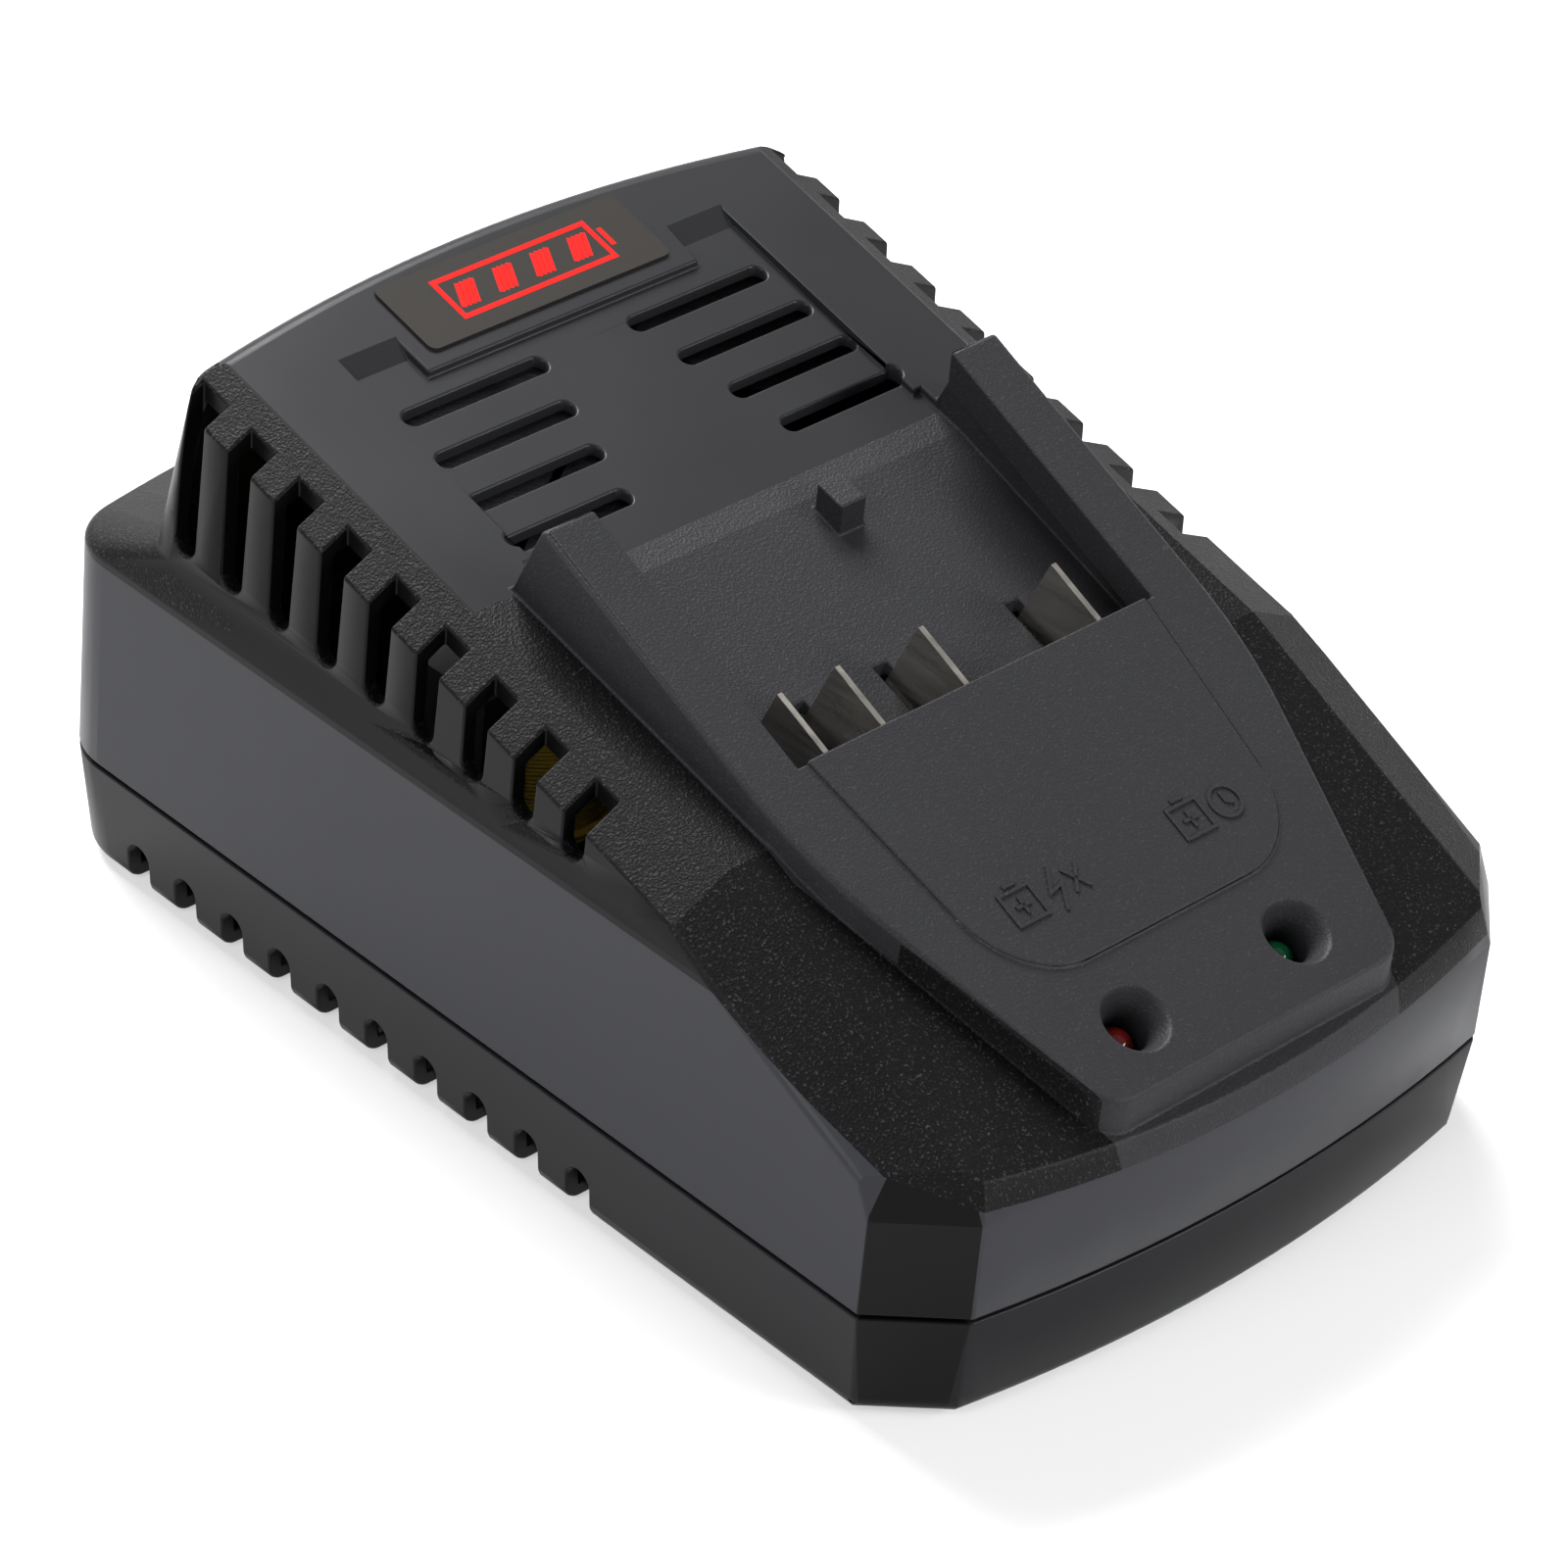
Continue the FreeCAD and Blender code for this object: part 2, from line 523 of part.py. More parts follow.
def postPlaces():
    x = size("housingScrewX")
    return [(s * x, y) for s in (-1, 1) for y in (size("housingScrewFrontY"), size("housingScrewBackY"))]


def earPlaces():
    x = size("carrierHalf") + size("carrierEar") / 2
    return [(s * x, size("carrierY")) for s in (-1, 1)]


def earPost(side):
    x, y = earPlaces()[0 if side < 0 else 1]
    return Part.makeCylinder(size("carrierEar") / 2, size("formTop"), Vector(x, y, size("carrierTop")))


def earHoles():
    return [Part.makeCylinder(size("screwRadius"), size("earBite") + 1, Vector(x, y, size("carrierTop") - 1))
            for x, y in earPlaces()]


def lowerForm(inset, bottom, top):
    sections = []
    for z in (bottom, top):
        draft = size("lowerDraft") * (size("partingHeight") - z) + inset
        half = size("halfWidth") - draft
        sections.append(outline(z, half, half, draft, draft, size("backCornerRadius") - inset, draft))
    return Part.makeLoft(sections, True, True)


def lowerHousing():
    wall = size("wall")
    lift = size("bottomLift")
    top = size("partingHeight") - size("partingGap") / 2
    outer = lowerForm(0.0, lift, top)
    rim = [e for e in outer.Edges if all(v.Z < lift + 1e-6 for v in e.Vertexes)]
    outer = outer.makeFillet(size("bottomEdge"), rim)
    body = outer.cut(lowerForm(wall, lift + wall, top + 1))
    # the locating lip stands inside the upper wall
    outside = wall + size("lipClearance")
    inside = outside + size("lipThick")
    root = outlinePrism(wall / 2, top - wall, top)
    lip = outlinePrism(outside, top - wall, top + size("lipHeight"))
    lip = root.fuse(lip).cut(outlinePrism(inside, top - 2 * wall, top + size("lipHeight") + 1))
    body = body.fuse(lip)
    floor = lift + wall / 2
    bosses = []
    for x, y in boardHoles():
        bosses.append(Part.makeCylinder(size("bossRadius"), size("boardZ") - floor, Vector(x, y, floor)))
    for x, y in postPlaces():
        height = size("partingHeight") + size("partingGap") / 2 - floor
        bosses.append(Part.makeCylinder(size("postRadius"), height, Vector(x, y, floor)))
    body = body.fuse(bosses)
    tools = []
    for x, y in boardHoles():
        tools.append(Part.makeCylinder(size("screwRadius"), size("boardZ"), Vector(x, y, lift + wall)))
    for x, y in postPlaces():
        tools.append(Part.makeCylinder(size("screwRadius") + size("screwClearance"), top + wall, Vector(x, y, 0)))
        tools.append(Part.makeCylinder(size("screwWell"), size("screwWellDepth"), Vector(x, y, 0)))
    for x, y in footPlaces():
        tools.append(Part.makeCylinder(size("footRadius") + size("footClearance"), size("footSeat") + lift, Vector(x, y, 0)))
    body = body.cut(tools + notches() + keyholes())
    return body.removeSplitter()


def outlinePrism(inset, bottom, top):
    half = size("halfWidth") - inset
    wire = outline(bottom, half, half, inset, inset, size("backCornerRadius") - inset, inset)
    return Part.Face(wire).extrude(Vector(0, 0, top - bottom))


def notches():
    # arched vents, open through the bottom edge
    tools = []
    half = size("notchWidth") / 2
    depth = 3 * size("wall")
    for k in range(int(size("notchCount"))):
        y = size("notchFirstY") - k * size("notchPitch")
        arch = Part.makeBox(depth, 2 * half, size("notchHeight") - half, Vector(0, y - half, 0))
        arch = arch.fuse(Part.makeCylinder(half, depth, Vector(0, y, size("notchHeight") - half), Vector(1, 0, 0)))
        arch = arch.removeSplitter()
        arch.translate(Vector(size("halfWidth") - depth + size("wall") / 2, 0, 0))
        tools += [arch, mirrorX(arch)]
    return tools


def keyholes():
    tools = []
    for side in (-1, 1):
        y = side * size("keyholeY")
        tools.append(Part.makeCylinder(size("keyholeRadius"), 2 * size("wall"), Vector(0, y, -1)))
        tools.append(Part.makeBox(2 * size("keyholeSlot"), size("keyholeRun"), 2 * size("wall"),
                                  Vector(-size("keyholeSlot"), y, -1)))
        tools.append(Part.makeCylinder(size("keyholeSlot"), 2 * size("wall"), Vector(0, y + size("keyholeRun"), -1)))
    return tools


def boardHoles():
    return [(s * size("boardHoleX"), y) for s in (-1, 1) for y in (size("boardHoleFrontY"), size("boardHoleBackY"))]


def footPlaces():
    return [(s * size("footX"), y) for s in (-1, 1) for y in (size("footFrontY"), size("footBackY"))]


def newBody(name):
    return doc.addObject("PartDesign::Body", name)


def sketchOn(body, name, role, loops, rounds=()):
    # corners and centres are placed from the origin, each by its own expression
    sketch = body.newObject("Sketcher::SketchObject", name)
    plane = [item for item in body.Origin.OriginFeatures if item.Role == role][0]
    sketch.AttachmentSupport = [(plane, "")]
    sketch.MapMode = "FlatFace"
    pairs = []
    for points in loops:
        first = sketch.GeometryCount
        count = len(points)
        turn = 2 * math.pi / count
        ring = [Vector(10 * math.cos(turn * k), 10 * math.sin(turn * k), 0) for k in range(count)]
        for k in range(count):
            sketch.addGeometry(Part.LineSegment(ring[k], ring[(k + 1) % count]))
        for k in range(count):
            sketch.addConstraint(Sketcher.Constraint("Coincident", first + k, 2, first + (k + 1) % count, 1))
            pairs.append((first + k, 1, points[k]))
    for x, y, radius in rounds:
        item = sketch.addGeometry(Part.Circle(Vector(1, 1, 0), Vector(0, 0, 1), 1))
        index = sketch.addConstraint(Sketcher.Constraint("Radius", item, 1))
        sketch.setExpression("Constraints[%d]" % index, tied(radius))
        pairs.append((item, 3, (x, y)))
    for item, end, place2 in pairs:
        for kind, text in zip(("DistanceX", "DistanceY"), place2):
            index = sketch.addConstraint(Sketcher.Constraint(kind, -1, 1, item, end, 1))
            sketch.setExpression("Constraints[%d]" % index, tied(text))
    doc.recompute()
    return sketch


def pad(body, name, sketch, length, middle=False, back=False):
    item = body.newObject("PartDesign::Pad", name)
    item.Profile = sketch
    item.Midplane = middle
    item.Reversed = back
    item.setExpression("Length", tied(length))
    body.Tip = item
    doc.recompute()
    return item


def turn(body, name, sketch, kind="Revolution"):
    item = body.newObject("PartDesign::" + kind, name)
    item.Profile = sketch
    item.ReferenceAxis = (sketch, ["V_Axis"])
    item.Angle = 360
    body.Tip = item
    doc.recompute()
    return item


def pocket(body, name, sketch, length):
    before = body.Shape.Volume
    item = body.newObject("PartDesign::Pocket", name)
    item.Profile = sketch
    item.Midplane = True
    item.setExpression("Length", tied(length))
    body.Tip = item
    doc.recompute()
    if body.Shape.Volume > before - 1e-6:
        raise RuntimeError("a pocket cuts nothing: " + name)
    return item


def rectangle(x, y, length, width):
    left, right = "%s - (%s) / 2" % (x, length), "%s + (%s) / 2" % (x, length)
    low, high = "%s - (%s) / 2" % (y, width), "%s + (%s) / 2" % (y, width)
    return [(left, low), (right, low), (right, high), (left, high)]


def labelPlate():
    body = newBody("label_plate")
    sketch = sketchOn(body, "LabelOutline", "XY_Plane", [rectangle("0", "0", "labelLength", "labelWidth")])
    plate = pad(body, "LabelPad", sketch, "labelThick")
    edges = ["Edge%d" % (k + 1) for k, e in enumerate(body.Shape.Edges)
             if abs(e.Vertexes[0].Z - e.Vertexes[-1].Z) > 1e-6]
    corners = body.newObject("PartDesign::Fillet", "LabelCorners")
    corners.Base = (plate, edges)
    corners.setExpression("Radius", tied("labelCorner"))
    body.Tip = corners
    body.Placement = FreeCAD.Placement(Vector(0, 0, 0), FreeCAD.Rotation(Vector(1, 0, 0), 1))
    body.setExpression("Placement.Rotation.Angle", tied("atan(rearSlope)"))
    place(body, "0", "labelY", "roofRearHeight + rearSlope * (labelY - roofRearY)")


def blades():
    # flat contacts: top edge in the rail plane, slanted rear edge, tail down through the carrier
    top = "platformZ + platformSlope * "
    for label, name in (("one", "bladeOneX"), ("two", "bladeTwoX"), ("three", "bladeThreeX"), ("four", "bladeFourX")):
        body = newBody("terminal_blade_" + label)
        front = "channelFrontY + bladeClearance"
        foot = "carrierTop - carrierHeight"
        profile = [(front, top + "(" + front + ")"), ("bladeTopY", top + "bladeTopY"),
                   ("bladeFootY", "carrierTop + carrierHeight"), ("bladeFootY", "carrierTop"),
                   ("bladeTailY + bladeTailHalf", "carrierTop"), ("bladeTailY + bladeTailHalf", foot + " - bladeTail"),
                   ("bladeTailY - bladeTailHalf", foot + " - bladeTail"), ("bladeTailY - bladeTailHalf", "carrierTop"),
                   (front, "carrierTop")]
        sketch = sketchOn(body, "BladeOutline", "YZ_Plane", [profile])
        pad(body, "BladePad", sketch, "bladeThick", middle=True)
        place(body, name, "0", "0")


def carrier():
    # moulded block under the channel floor, with an ear on each side and a slit for each tail
    block = box("CarrierBlock", "2 * carrierHalf", "carrierDepth", "carrierHeight", "0", "carrierY", "carrierTop - carrierHeight")
    ears = box("CarrierEars", "2 * carrierHalf + 2 * carrierEar", "carrierEar", "carrierEarThick", "0", "carrierY",
               "carrierTop - carrierEarThick")
    tools = []
    for label, name in (("One", "bladeOneX"), ("Two", "bladeTwoX"), ("Three", "bladeThreeX"), ("Four", "bladeFourX")):
        tools.append(box("CarrierSlit" + label, "bladeThick", "2 * bladeTailHalf", "carrierHeight", name, "bladeTailY",
                         "carrierTop - carrierHeight"))
    for k, sign in enumerate(("-1", "1")):
        tools.append(rod("CarrierHole%d" % k, "screwRadius + screwClearance", "carrierEarThick",
                         sign + " * (carrierHalf + carrierEar / 2)", "carrierY", "carrierTop - carrierEarThick"))
    cut("terminal_carrier", join("CarrierBody", [block, ears]), tools)


def leads():
    # straight solid leads from the blade tails down to the board
    for label, name in (("one", "bladeOneX"), ("two", "bladeTwoX"), ("three", "bladeThreeX"), ("four", "bladeFourX")):
        rod("lead_" + label, "leadRadius", "carrierTop - carrierHeight - bladeTail - boardZ - boardThick", name,
            "bladeTailY", "boardZ + boardThick")


def circuitBoard():
    body = newBody("circuit_board")
    rim = rectangle("0", "(boardFrontY + boardBackY) / 2", "2 * boardHalf", "boardBackY - boardFrontY")
    holes = [(sign + " * boardHoleX", y, "screwRadius + screwClearance") for sign in ("-1", "1")
             for y in ("boardHoleFrontY", "boardHoleBackY")]
    sketch = sketchOn(body, "BoardOutline", "XY_Plane", [rim], holes)
    pad(body, "BoardPad", sketch, "boardThick")
    place(body, "0", "0", "boardZ")


def transformer():
    body = newBody("transformer_core")
    frame = sketchOn(body, "CoreOutline", "XZ_Plane", [rectangle("0", "coreHeight / 2", "coreLength", "coreHeight")])
    pad(body, "CorePad", frame, "coreWidth", middle=True)
    windows = []
    for sign in ("-1", "1"):
        middle = sign + " * (coreLength / 2 - coreYoke + coreLeg) / 2"
        windows.append(rectangle(middle, "coreHeight / 2", "coreLength / 2 - coreYoke - coreLeg", "coreHeight - 2 * coreYoke"))
    pocket(body, "CoreWindows", sketchOn(body, "CoreWindowOutline", "XZ_Plane", windows), "2 * coreWidth")
    place(body, "coreX", "coreY", "boardZ + boardThick")
    winding = newBody("transformer_winding")
    # bobbin with a flange at each end and the wound coil between them
    inner = "bobbinInner"
    low, high = "coreYoke + bobbinGap", "coreHeight - coreYoke - bobbinGap"
    coil = "bobbinRadius - bobbinFlange"
    profile = [(inner, low), ("bobbinRadius", low), ("bobbinRadius", low + " + bobbinFlange"), (coil, low + " + bobbinFlange"),
               (coil, high + " - bobbinFlange"), ("bobbinRadius", high + " - bobbinFlange"), ("bobbinRadius", high),
               (inner, high)]
    turn(winding, "BobbinTurn", sketchOn(winding, "BobbinProfile", "XZ_Plane", [profile]))
    place(winding, "coreX", "coreY", "boardZ + boardThick")


def canister(label, radius, height, x, y):
    # round capacitor with a rolled groove near its foot
    body = newBody(label)
    groove = "capGroove"
    profile = [("0.01 * " + radius, "0"), (radius, "0"), (radius, "3 * " + groove), (radius + " - " + groove, "4 * " + groove),
               (radius, "5 * " + groove), (radius, height + " - " + groove), (radius + " - " + groove, height),
               ("0.01 * " + radius, height)]
    profile = [("0", y1) if x1.startswith("0.01") else (x1, y1) for x1, y1 in profile]
    turn(body, label + "Turn", sketchOn(body, label + "Profile", "XZ_Plane", [profile]))
    place(body, x, y, "boardZ + boardThick")


def heatsink(label, x, y, length, height, spin):
    # comb of fins on a flat plate that stands on the board
    body = newBody(label)
    count = int(size("finCount"))
    profile = [("-1 * (%s) / 2" % length, "0"), ("-1 * (%s) / 2" % length, "sinkThick + finDepth")]
    for k in range(count):
        left = "(%s) * (%d / (2 * finCount - 1) - 0.5)" % (length, 2 * k)
        right = "(%s) * (%d / (2 * finCount - 1) - 0.5)" % (length, 2 * k + 1)
        if k:
            profile += [(left, "sinkThick"), (left, "sinkThick + finDepth")]
        profile.append((right, "sinkThick + finDepth"))
        if k < count - 1:
            profile.append((right, "sinkThick"))
    profile.append(("(%s) / 2" % length, "0"))
    pad(body, label + "Pad", sketchOn(body, label + "Profile", "XY_Plane", [profile]), height)
    body.Placement = FreeCAD.Placement(Vector(0, 0, 0), FreeCAD.Rotation(Vector(0, 0, 1), spin))
    place(body, x, y, "boardZ + boardThick")


def packagePart(label, x, y, alongX):
    # moulded block on its three legs, flat against the heatsink plate
    length = "packageWidth" if alongX else "packageThick"
    width = "packageThick" if alongX else "packageWidth"
    parts = [box(label + "Block", length, width, "packageHeight", x, y, "boardZ + boardThick + packageLift")]
    for k, step in enumerate(("-1 * lampLeadPitch", "0", "lampLeadPitch")):
        legX = "%s + %s" % (x, step) if alongX else x
        legY = y if alongX else "%s + %s" % (y, step)
        parts.append(box(label + "Leg%d" % k, "packageLeg", "packageLeg", "packageLift + packageLeg", legX, legY,
                         "boardZ + boardThick"))
    join(label, parts)


def choke():
    ring = doc.addObject("Part::Torus", "choke_ring")
    bind(ring, Radius1=tied("chokeRadius"), Radius2=tied("chokeTube"))
    place(ring, "chokeX", "chokeY", "boardZ + boardThick + chokeTube + chokeBase")
    base = rod("choke_base", "chokeRadius + chokeTube", "chokeBase", "chokeX", "chokeY", "boardZ + boardThick")
    return ring, base


def fuse():
    # glass tube between two caps, on a clip at each end
    lift = "boardZ + boardThick + fuseRadius + standOff"
    tube = doc.addObject("Part::Cylinder", "FuseTube")
    bind(tube, Radius=tied("fuseRadius - capGroove / 2"), Height=tied("fuseLength"))
    parts = [tube]
    for k, start in enumerate(("0", "fuseLength - fuseLength / 4")):
        cap = doc.addObject("Part::Cylinder", "FuseCap%d" % k)
        bind(cap, Radius=tied("fuseRadius"), Height=tied("fuseLength / 4"))
        parts.append(cap)
        cap.Placement = FreeCAD.Placement(Vector(0, 0, 0), FreeCAD.Rotation(Vector(0, 1, 0), 90))
        place(cap, "fuseX - fuseLength / 2 + " + start, "fuseY", lift)
        parts.append(box("FuseClip%d" % k, "fuseLength / 6", "2 * fuseRadius", "fuseRadius + standOff",
                         "fuseX - fuseLength / 2 + fuseLength / 8 + " + start, "fuseY", "boardZ + boardThick"))
    tube.Placement = FreeCAD.Placement(Vector(0, 0, 0), FreeCAD.Rotation(Vector(0, 1, 0), 90))
    place(tube, "fuseX - fuseLength / 2", "fuseY", lift)
    join("fuse", parts)


def lamp(label, sign):
    # round-topped lamp square to the sloping platform, its two legs straight down to the board
    dome = Part.makeSphere(size("lampDome"))
    dome.translate(Vector(0, 0, -size("lampDrop") - size("lampDome")))
    length = size("lampHeight") - size("lampDome")
    shank = Part.makeCylinder(size("lampDome"), length, Vector(0, 0, -size("lampDrop") - size("lampDome")), Vector(0, 0, -1))
    foot = -size("lampDrop") - size("lampHeight")
    flange = Part.makeCylinder(size("lampFlange"), size("lampFlangeThick"), Vector(0, 0, foot))
    x = sign * size("lampX")
    body = onPlatform(dome.fuse([shank, flange]), x, size("lampY"))
    middle = onPlatform(Part.Vertex(0, 0, foot + size("lampFlangeThick") / 2), x, size("lampY")).Point
    board = size("boardZ") + size("boardThick")
    legs = []
    for step in (-0.5, 0.5):
        left = middle.x + step * size("lampLeadPitch") - size("lampLead") / 2
        legs.append(Part.makeBox(size("lampLead"), size("lampLead"), middle.z - board,
                                 Vector(left, middle.y - size("lampLead") / 2, board)))
    feature(label, body.fuse(legs))


def inlet():
    # figure-of-eight socket shell with an inside flange, and its two contact pins
    z = size("inletZ")
    outerFace = size("backY") - size("inletRecess")
    depth = size("inletDepth")
    shell = inletHole(z, 0.0, depth, outerFace - depth)
    seat = size("backY") - size("inletSeat")
    length = size("inletLength") + 2 * size("inletFlange")
    height = size("inletHeight") + 2 * size("inletFlange")
    flange = Part.makeBox(length, size("inletFlangeThick"), height,
                          Vector(-length / 2, seat - size("inletFlangeThick"), z - height / 2))
    shell = shell.fuse(flange).cut(inletHole(z, -size("inletWall"), size("inletPocket") + 1, outerFace - size("inletPocket")))
    front = outerFace - depth - size("inletPinIn")
    reach = size("inletPinIn") + depth - size("inletRecess") - 2 * size("inletPinRadius")
    pins = []
    for sign in (-1, 1):
        x = sign * size("inletPinPitch") / 2
        pins.append(Part.makeCylinder(size("inletPinRadius"), reach, Vector(x, front, z), Vector(0, 1, 0)))
    shell = shell.cut(pins)
    feature("mains_inlet", shell.removeSplitter())
    feature("inlet_pin_left", pins[0])
    feature("inlet_pin_right", pins[1])


def screw(label, headZ, tipZ, x, y, down):
    # pan head and plain shank, the head under or over the piece that it holds
    radius = "screwRadius - screwClearance"
    if down:
        head = rod(label + "Head", "screwHead", "screwHeadHeight", x, y, headZ)
        shank = rod(label + "Shank", radius, "(%s) - (%s) + screwHeadHeight / 2" % (headZ, tipZ), x, y, tipZ)
    else:
        head = rod(label + "Head", "screwHead", "screwHeadHeight", x, y, "(%s) - screwHeadHeight" % headZ)
        shank = rod(label + "Shank", radius, "(%s) - (%s) + screwHeadHeight / 2" % (tipZ, headZ), x, y,
                    "(%s) - screwHeadHeight / 2" % headZ)
    join(label, [head, shank])


def fasteners():
    for k, (side, end) in enumerate([(s, e) for s in ("-1", "1") for e in ("Front", "Back")], start=1):
        screw("housing_screw_%d" % k, "screwWellDepth", "partingHeight + screwBite - screwRadius",
              side + " * housingScrewX", "housingScrew%sY" % end, False)
        screw("board_screw_%d" % k, "boardZ + boardThick", "boardZ - boardBite", side + " * boardHoleX",
              "boardHole%sY" % end, True)
        rod("rubber_foot_%d" % k, "footRadius", "bottomLift + footSeat", side + " * footX", "foot%sY" % end, "0")
    for k, side in enumerate(("-1", "1"), start=1):
        screw("carrier_screw_%d" % k, "carrierTop - carrierEarThick", "carrierTop + earBite - screwRadius",
              side + " * (carrierHalf + carrierEar / 2)", "carrierY", False)


feature("upper_housing", upperHousing())
feature("lower_housing", lowerHousing())
labelPlate()
blades()
carrier()
leads()
circuitBoard()
transformer()
canister("input_capacitor", "bigCapRadius", "bigCapHeight", "bigCapX", "bigCapY")
canister("output_capacitor_1", "smallCapRadius", "smallCapHeight", "smallCapX", "smallCapY")
canister("output_capacitor_2", "smallCapRadius", "smallCapHeight", "smallCapX + smallCapPitch", "smallCapY")
heatsink("heatsink_side", "sinkX", "sinkY", "sinkLength", "sinkHeight", -90)
heatsink("heatsink_front", "sinkTwoX", "sinkTwoY", "sinkTwoLength", "sinkTwoHeight", 180)
packagePart("power_transistor", "sinkX - packageThick / 2", "sinkY", False)
packagePart("rectifier", "sinkTwoX", "sinkTwoY + packageThick / 2", True)
choke()
fuse()
box("film_capacitor", "filmCapLength", "filmCapDepth", "filmCapHeight", "filmCapX", "filmCapY", "boardZ + boardThick")
box("control_chip", "chipLength", "chipWidth", "chipHeight", "chipX", "chipY", "boardZ + boardThick")
lamp("red_lamp", -1)
lamp("green_lamp", 1)
inlet()
fasteners()

labels = ["upper_housing", "lower_housing", "label_plate", "terminal_carrier", "circuit_board", "transformer_core",
          "transformer_winding", "input_capacitor", "output_capacitor_1", "output_capacitor_2", "heatsink_side",
          "heatsink_front", "power_transistor", "rectifier", "choke_ring", "choke_base", "fuse", "film_capacitor",
          "control_chip", "red_lamp", "green_lamp", "mains_inlet", "inlet_pin_left", "inlet_pin_right"]
labels += ["%s_%s" % (kind, word) for kind in ("terminal_blade", "lead") for word in ("one", "two", "three", "four")]
labels += ["%s_%d" % (kind, k) for kind in ("housing_screw", "board_screw", "rubber_foot") for k in range(1, 5)]
labels += ["carrier_screw_1", "carrier_screw_2"]

doc.recompute()
problems = [obj.Label for obj in doc.Objects if "Invalid" in obj.State or "Error" in obj.State]
if problems:
    raise RuntimeError("failed objects: " + ", ".join(problems))
pieces = [doc.getObjectsByLabel(label)[0] for label in labels]
for obj in pieces:
    if obj.Shape.isNull() or not obj.Shape.isValid() or len(obj.Shape.Solids) != 1:
        raise RuntimeError("bad shape: " + obj.Label)

os.makedirs("parts", exist_ok=True)
for obj in pieces:
    obj.Shape.exportStep("parts/" + obj.Label + ".step")
print(len(pieces), "pieces written")
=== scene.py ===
import json
import bpy
import bmesh
import numpy as np
from mathutils import Matrix, Vector


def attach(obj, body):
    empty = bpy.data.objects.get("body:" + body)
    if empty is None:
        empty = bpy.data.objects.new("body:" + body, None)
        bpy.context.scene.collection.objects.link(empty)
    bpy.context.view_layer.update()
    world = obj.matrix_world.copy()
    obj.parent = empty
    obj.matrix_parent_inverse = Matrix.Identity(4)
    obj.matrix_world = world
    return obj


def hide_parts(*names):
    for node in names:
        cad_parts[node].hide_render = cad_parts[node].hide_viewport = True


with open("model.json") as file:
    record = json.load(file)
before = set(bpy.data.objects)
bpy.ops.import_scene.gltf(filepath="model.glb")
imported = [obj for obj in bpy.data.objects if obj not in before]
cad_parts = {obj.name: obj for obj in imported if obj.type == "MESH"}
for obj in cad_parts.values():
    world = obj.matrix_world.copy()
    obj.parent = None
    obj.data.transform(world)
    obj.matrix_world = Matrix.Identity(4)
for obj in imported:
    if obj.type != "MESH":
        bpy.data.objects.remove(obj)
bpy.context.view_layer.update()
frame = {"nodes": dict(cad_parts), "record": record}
print("model loaded:", len(frame["nodes"]), "nodes")

mm = 0.001

# fitted to the photograph's edges
cameraFit = {
    "place": (-0.47945, -0.44825, 0.48591),
    "right": (0.71996, -0.68949, 0.07908),
    "up": (0.34985, 0.45898, 0.81666),
    "lens": 148.0,
    "sensor": 36.0,
    "near": 0.01,
    "far": 20.0,
}


def makeCamera(fit):
    right = Vector(fit["right"]).normalized()
    up = Vector(fit["up"]).normalized()
    back = right.cross(up).normalized()
    data = bpy.data.cameras.new("camera")
    data.lens = fit["lens"]
    data.sensor_width = fit["sensor"]
    data.clip_start = fit["near"]
    data.clip_end = fit["far"]
    camera = bpy.data.objects.new("camera", data)
    turned = Matrix((right, up, back)).transposed().to_4x4()
    camera.matrix_world = Matrix.Translation(Vector(fit["place"])) @ turned
    bpy.context.scene.collection.objects.link(camera)
    bpy.context.scene.camera = camera


makeCamera(cameraFit)
print("camera placed")


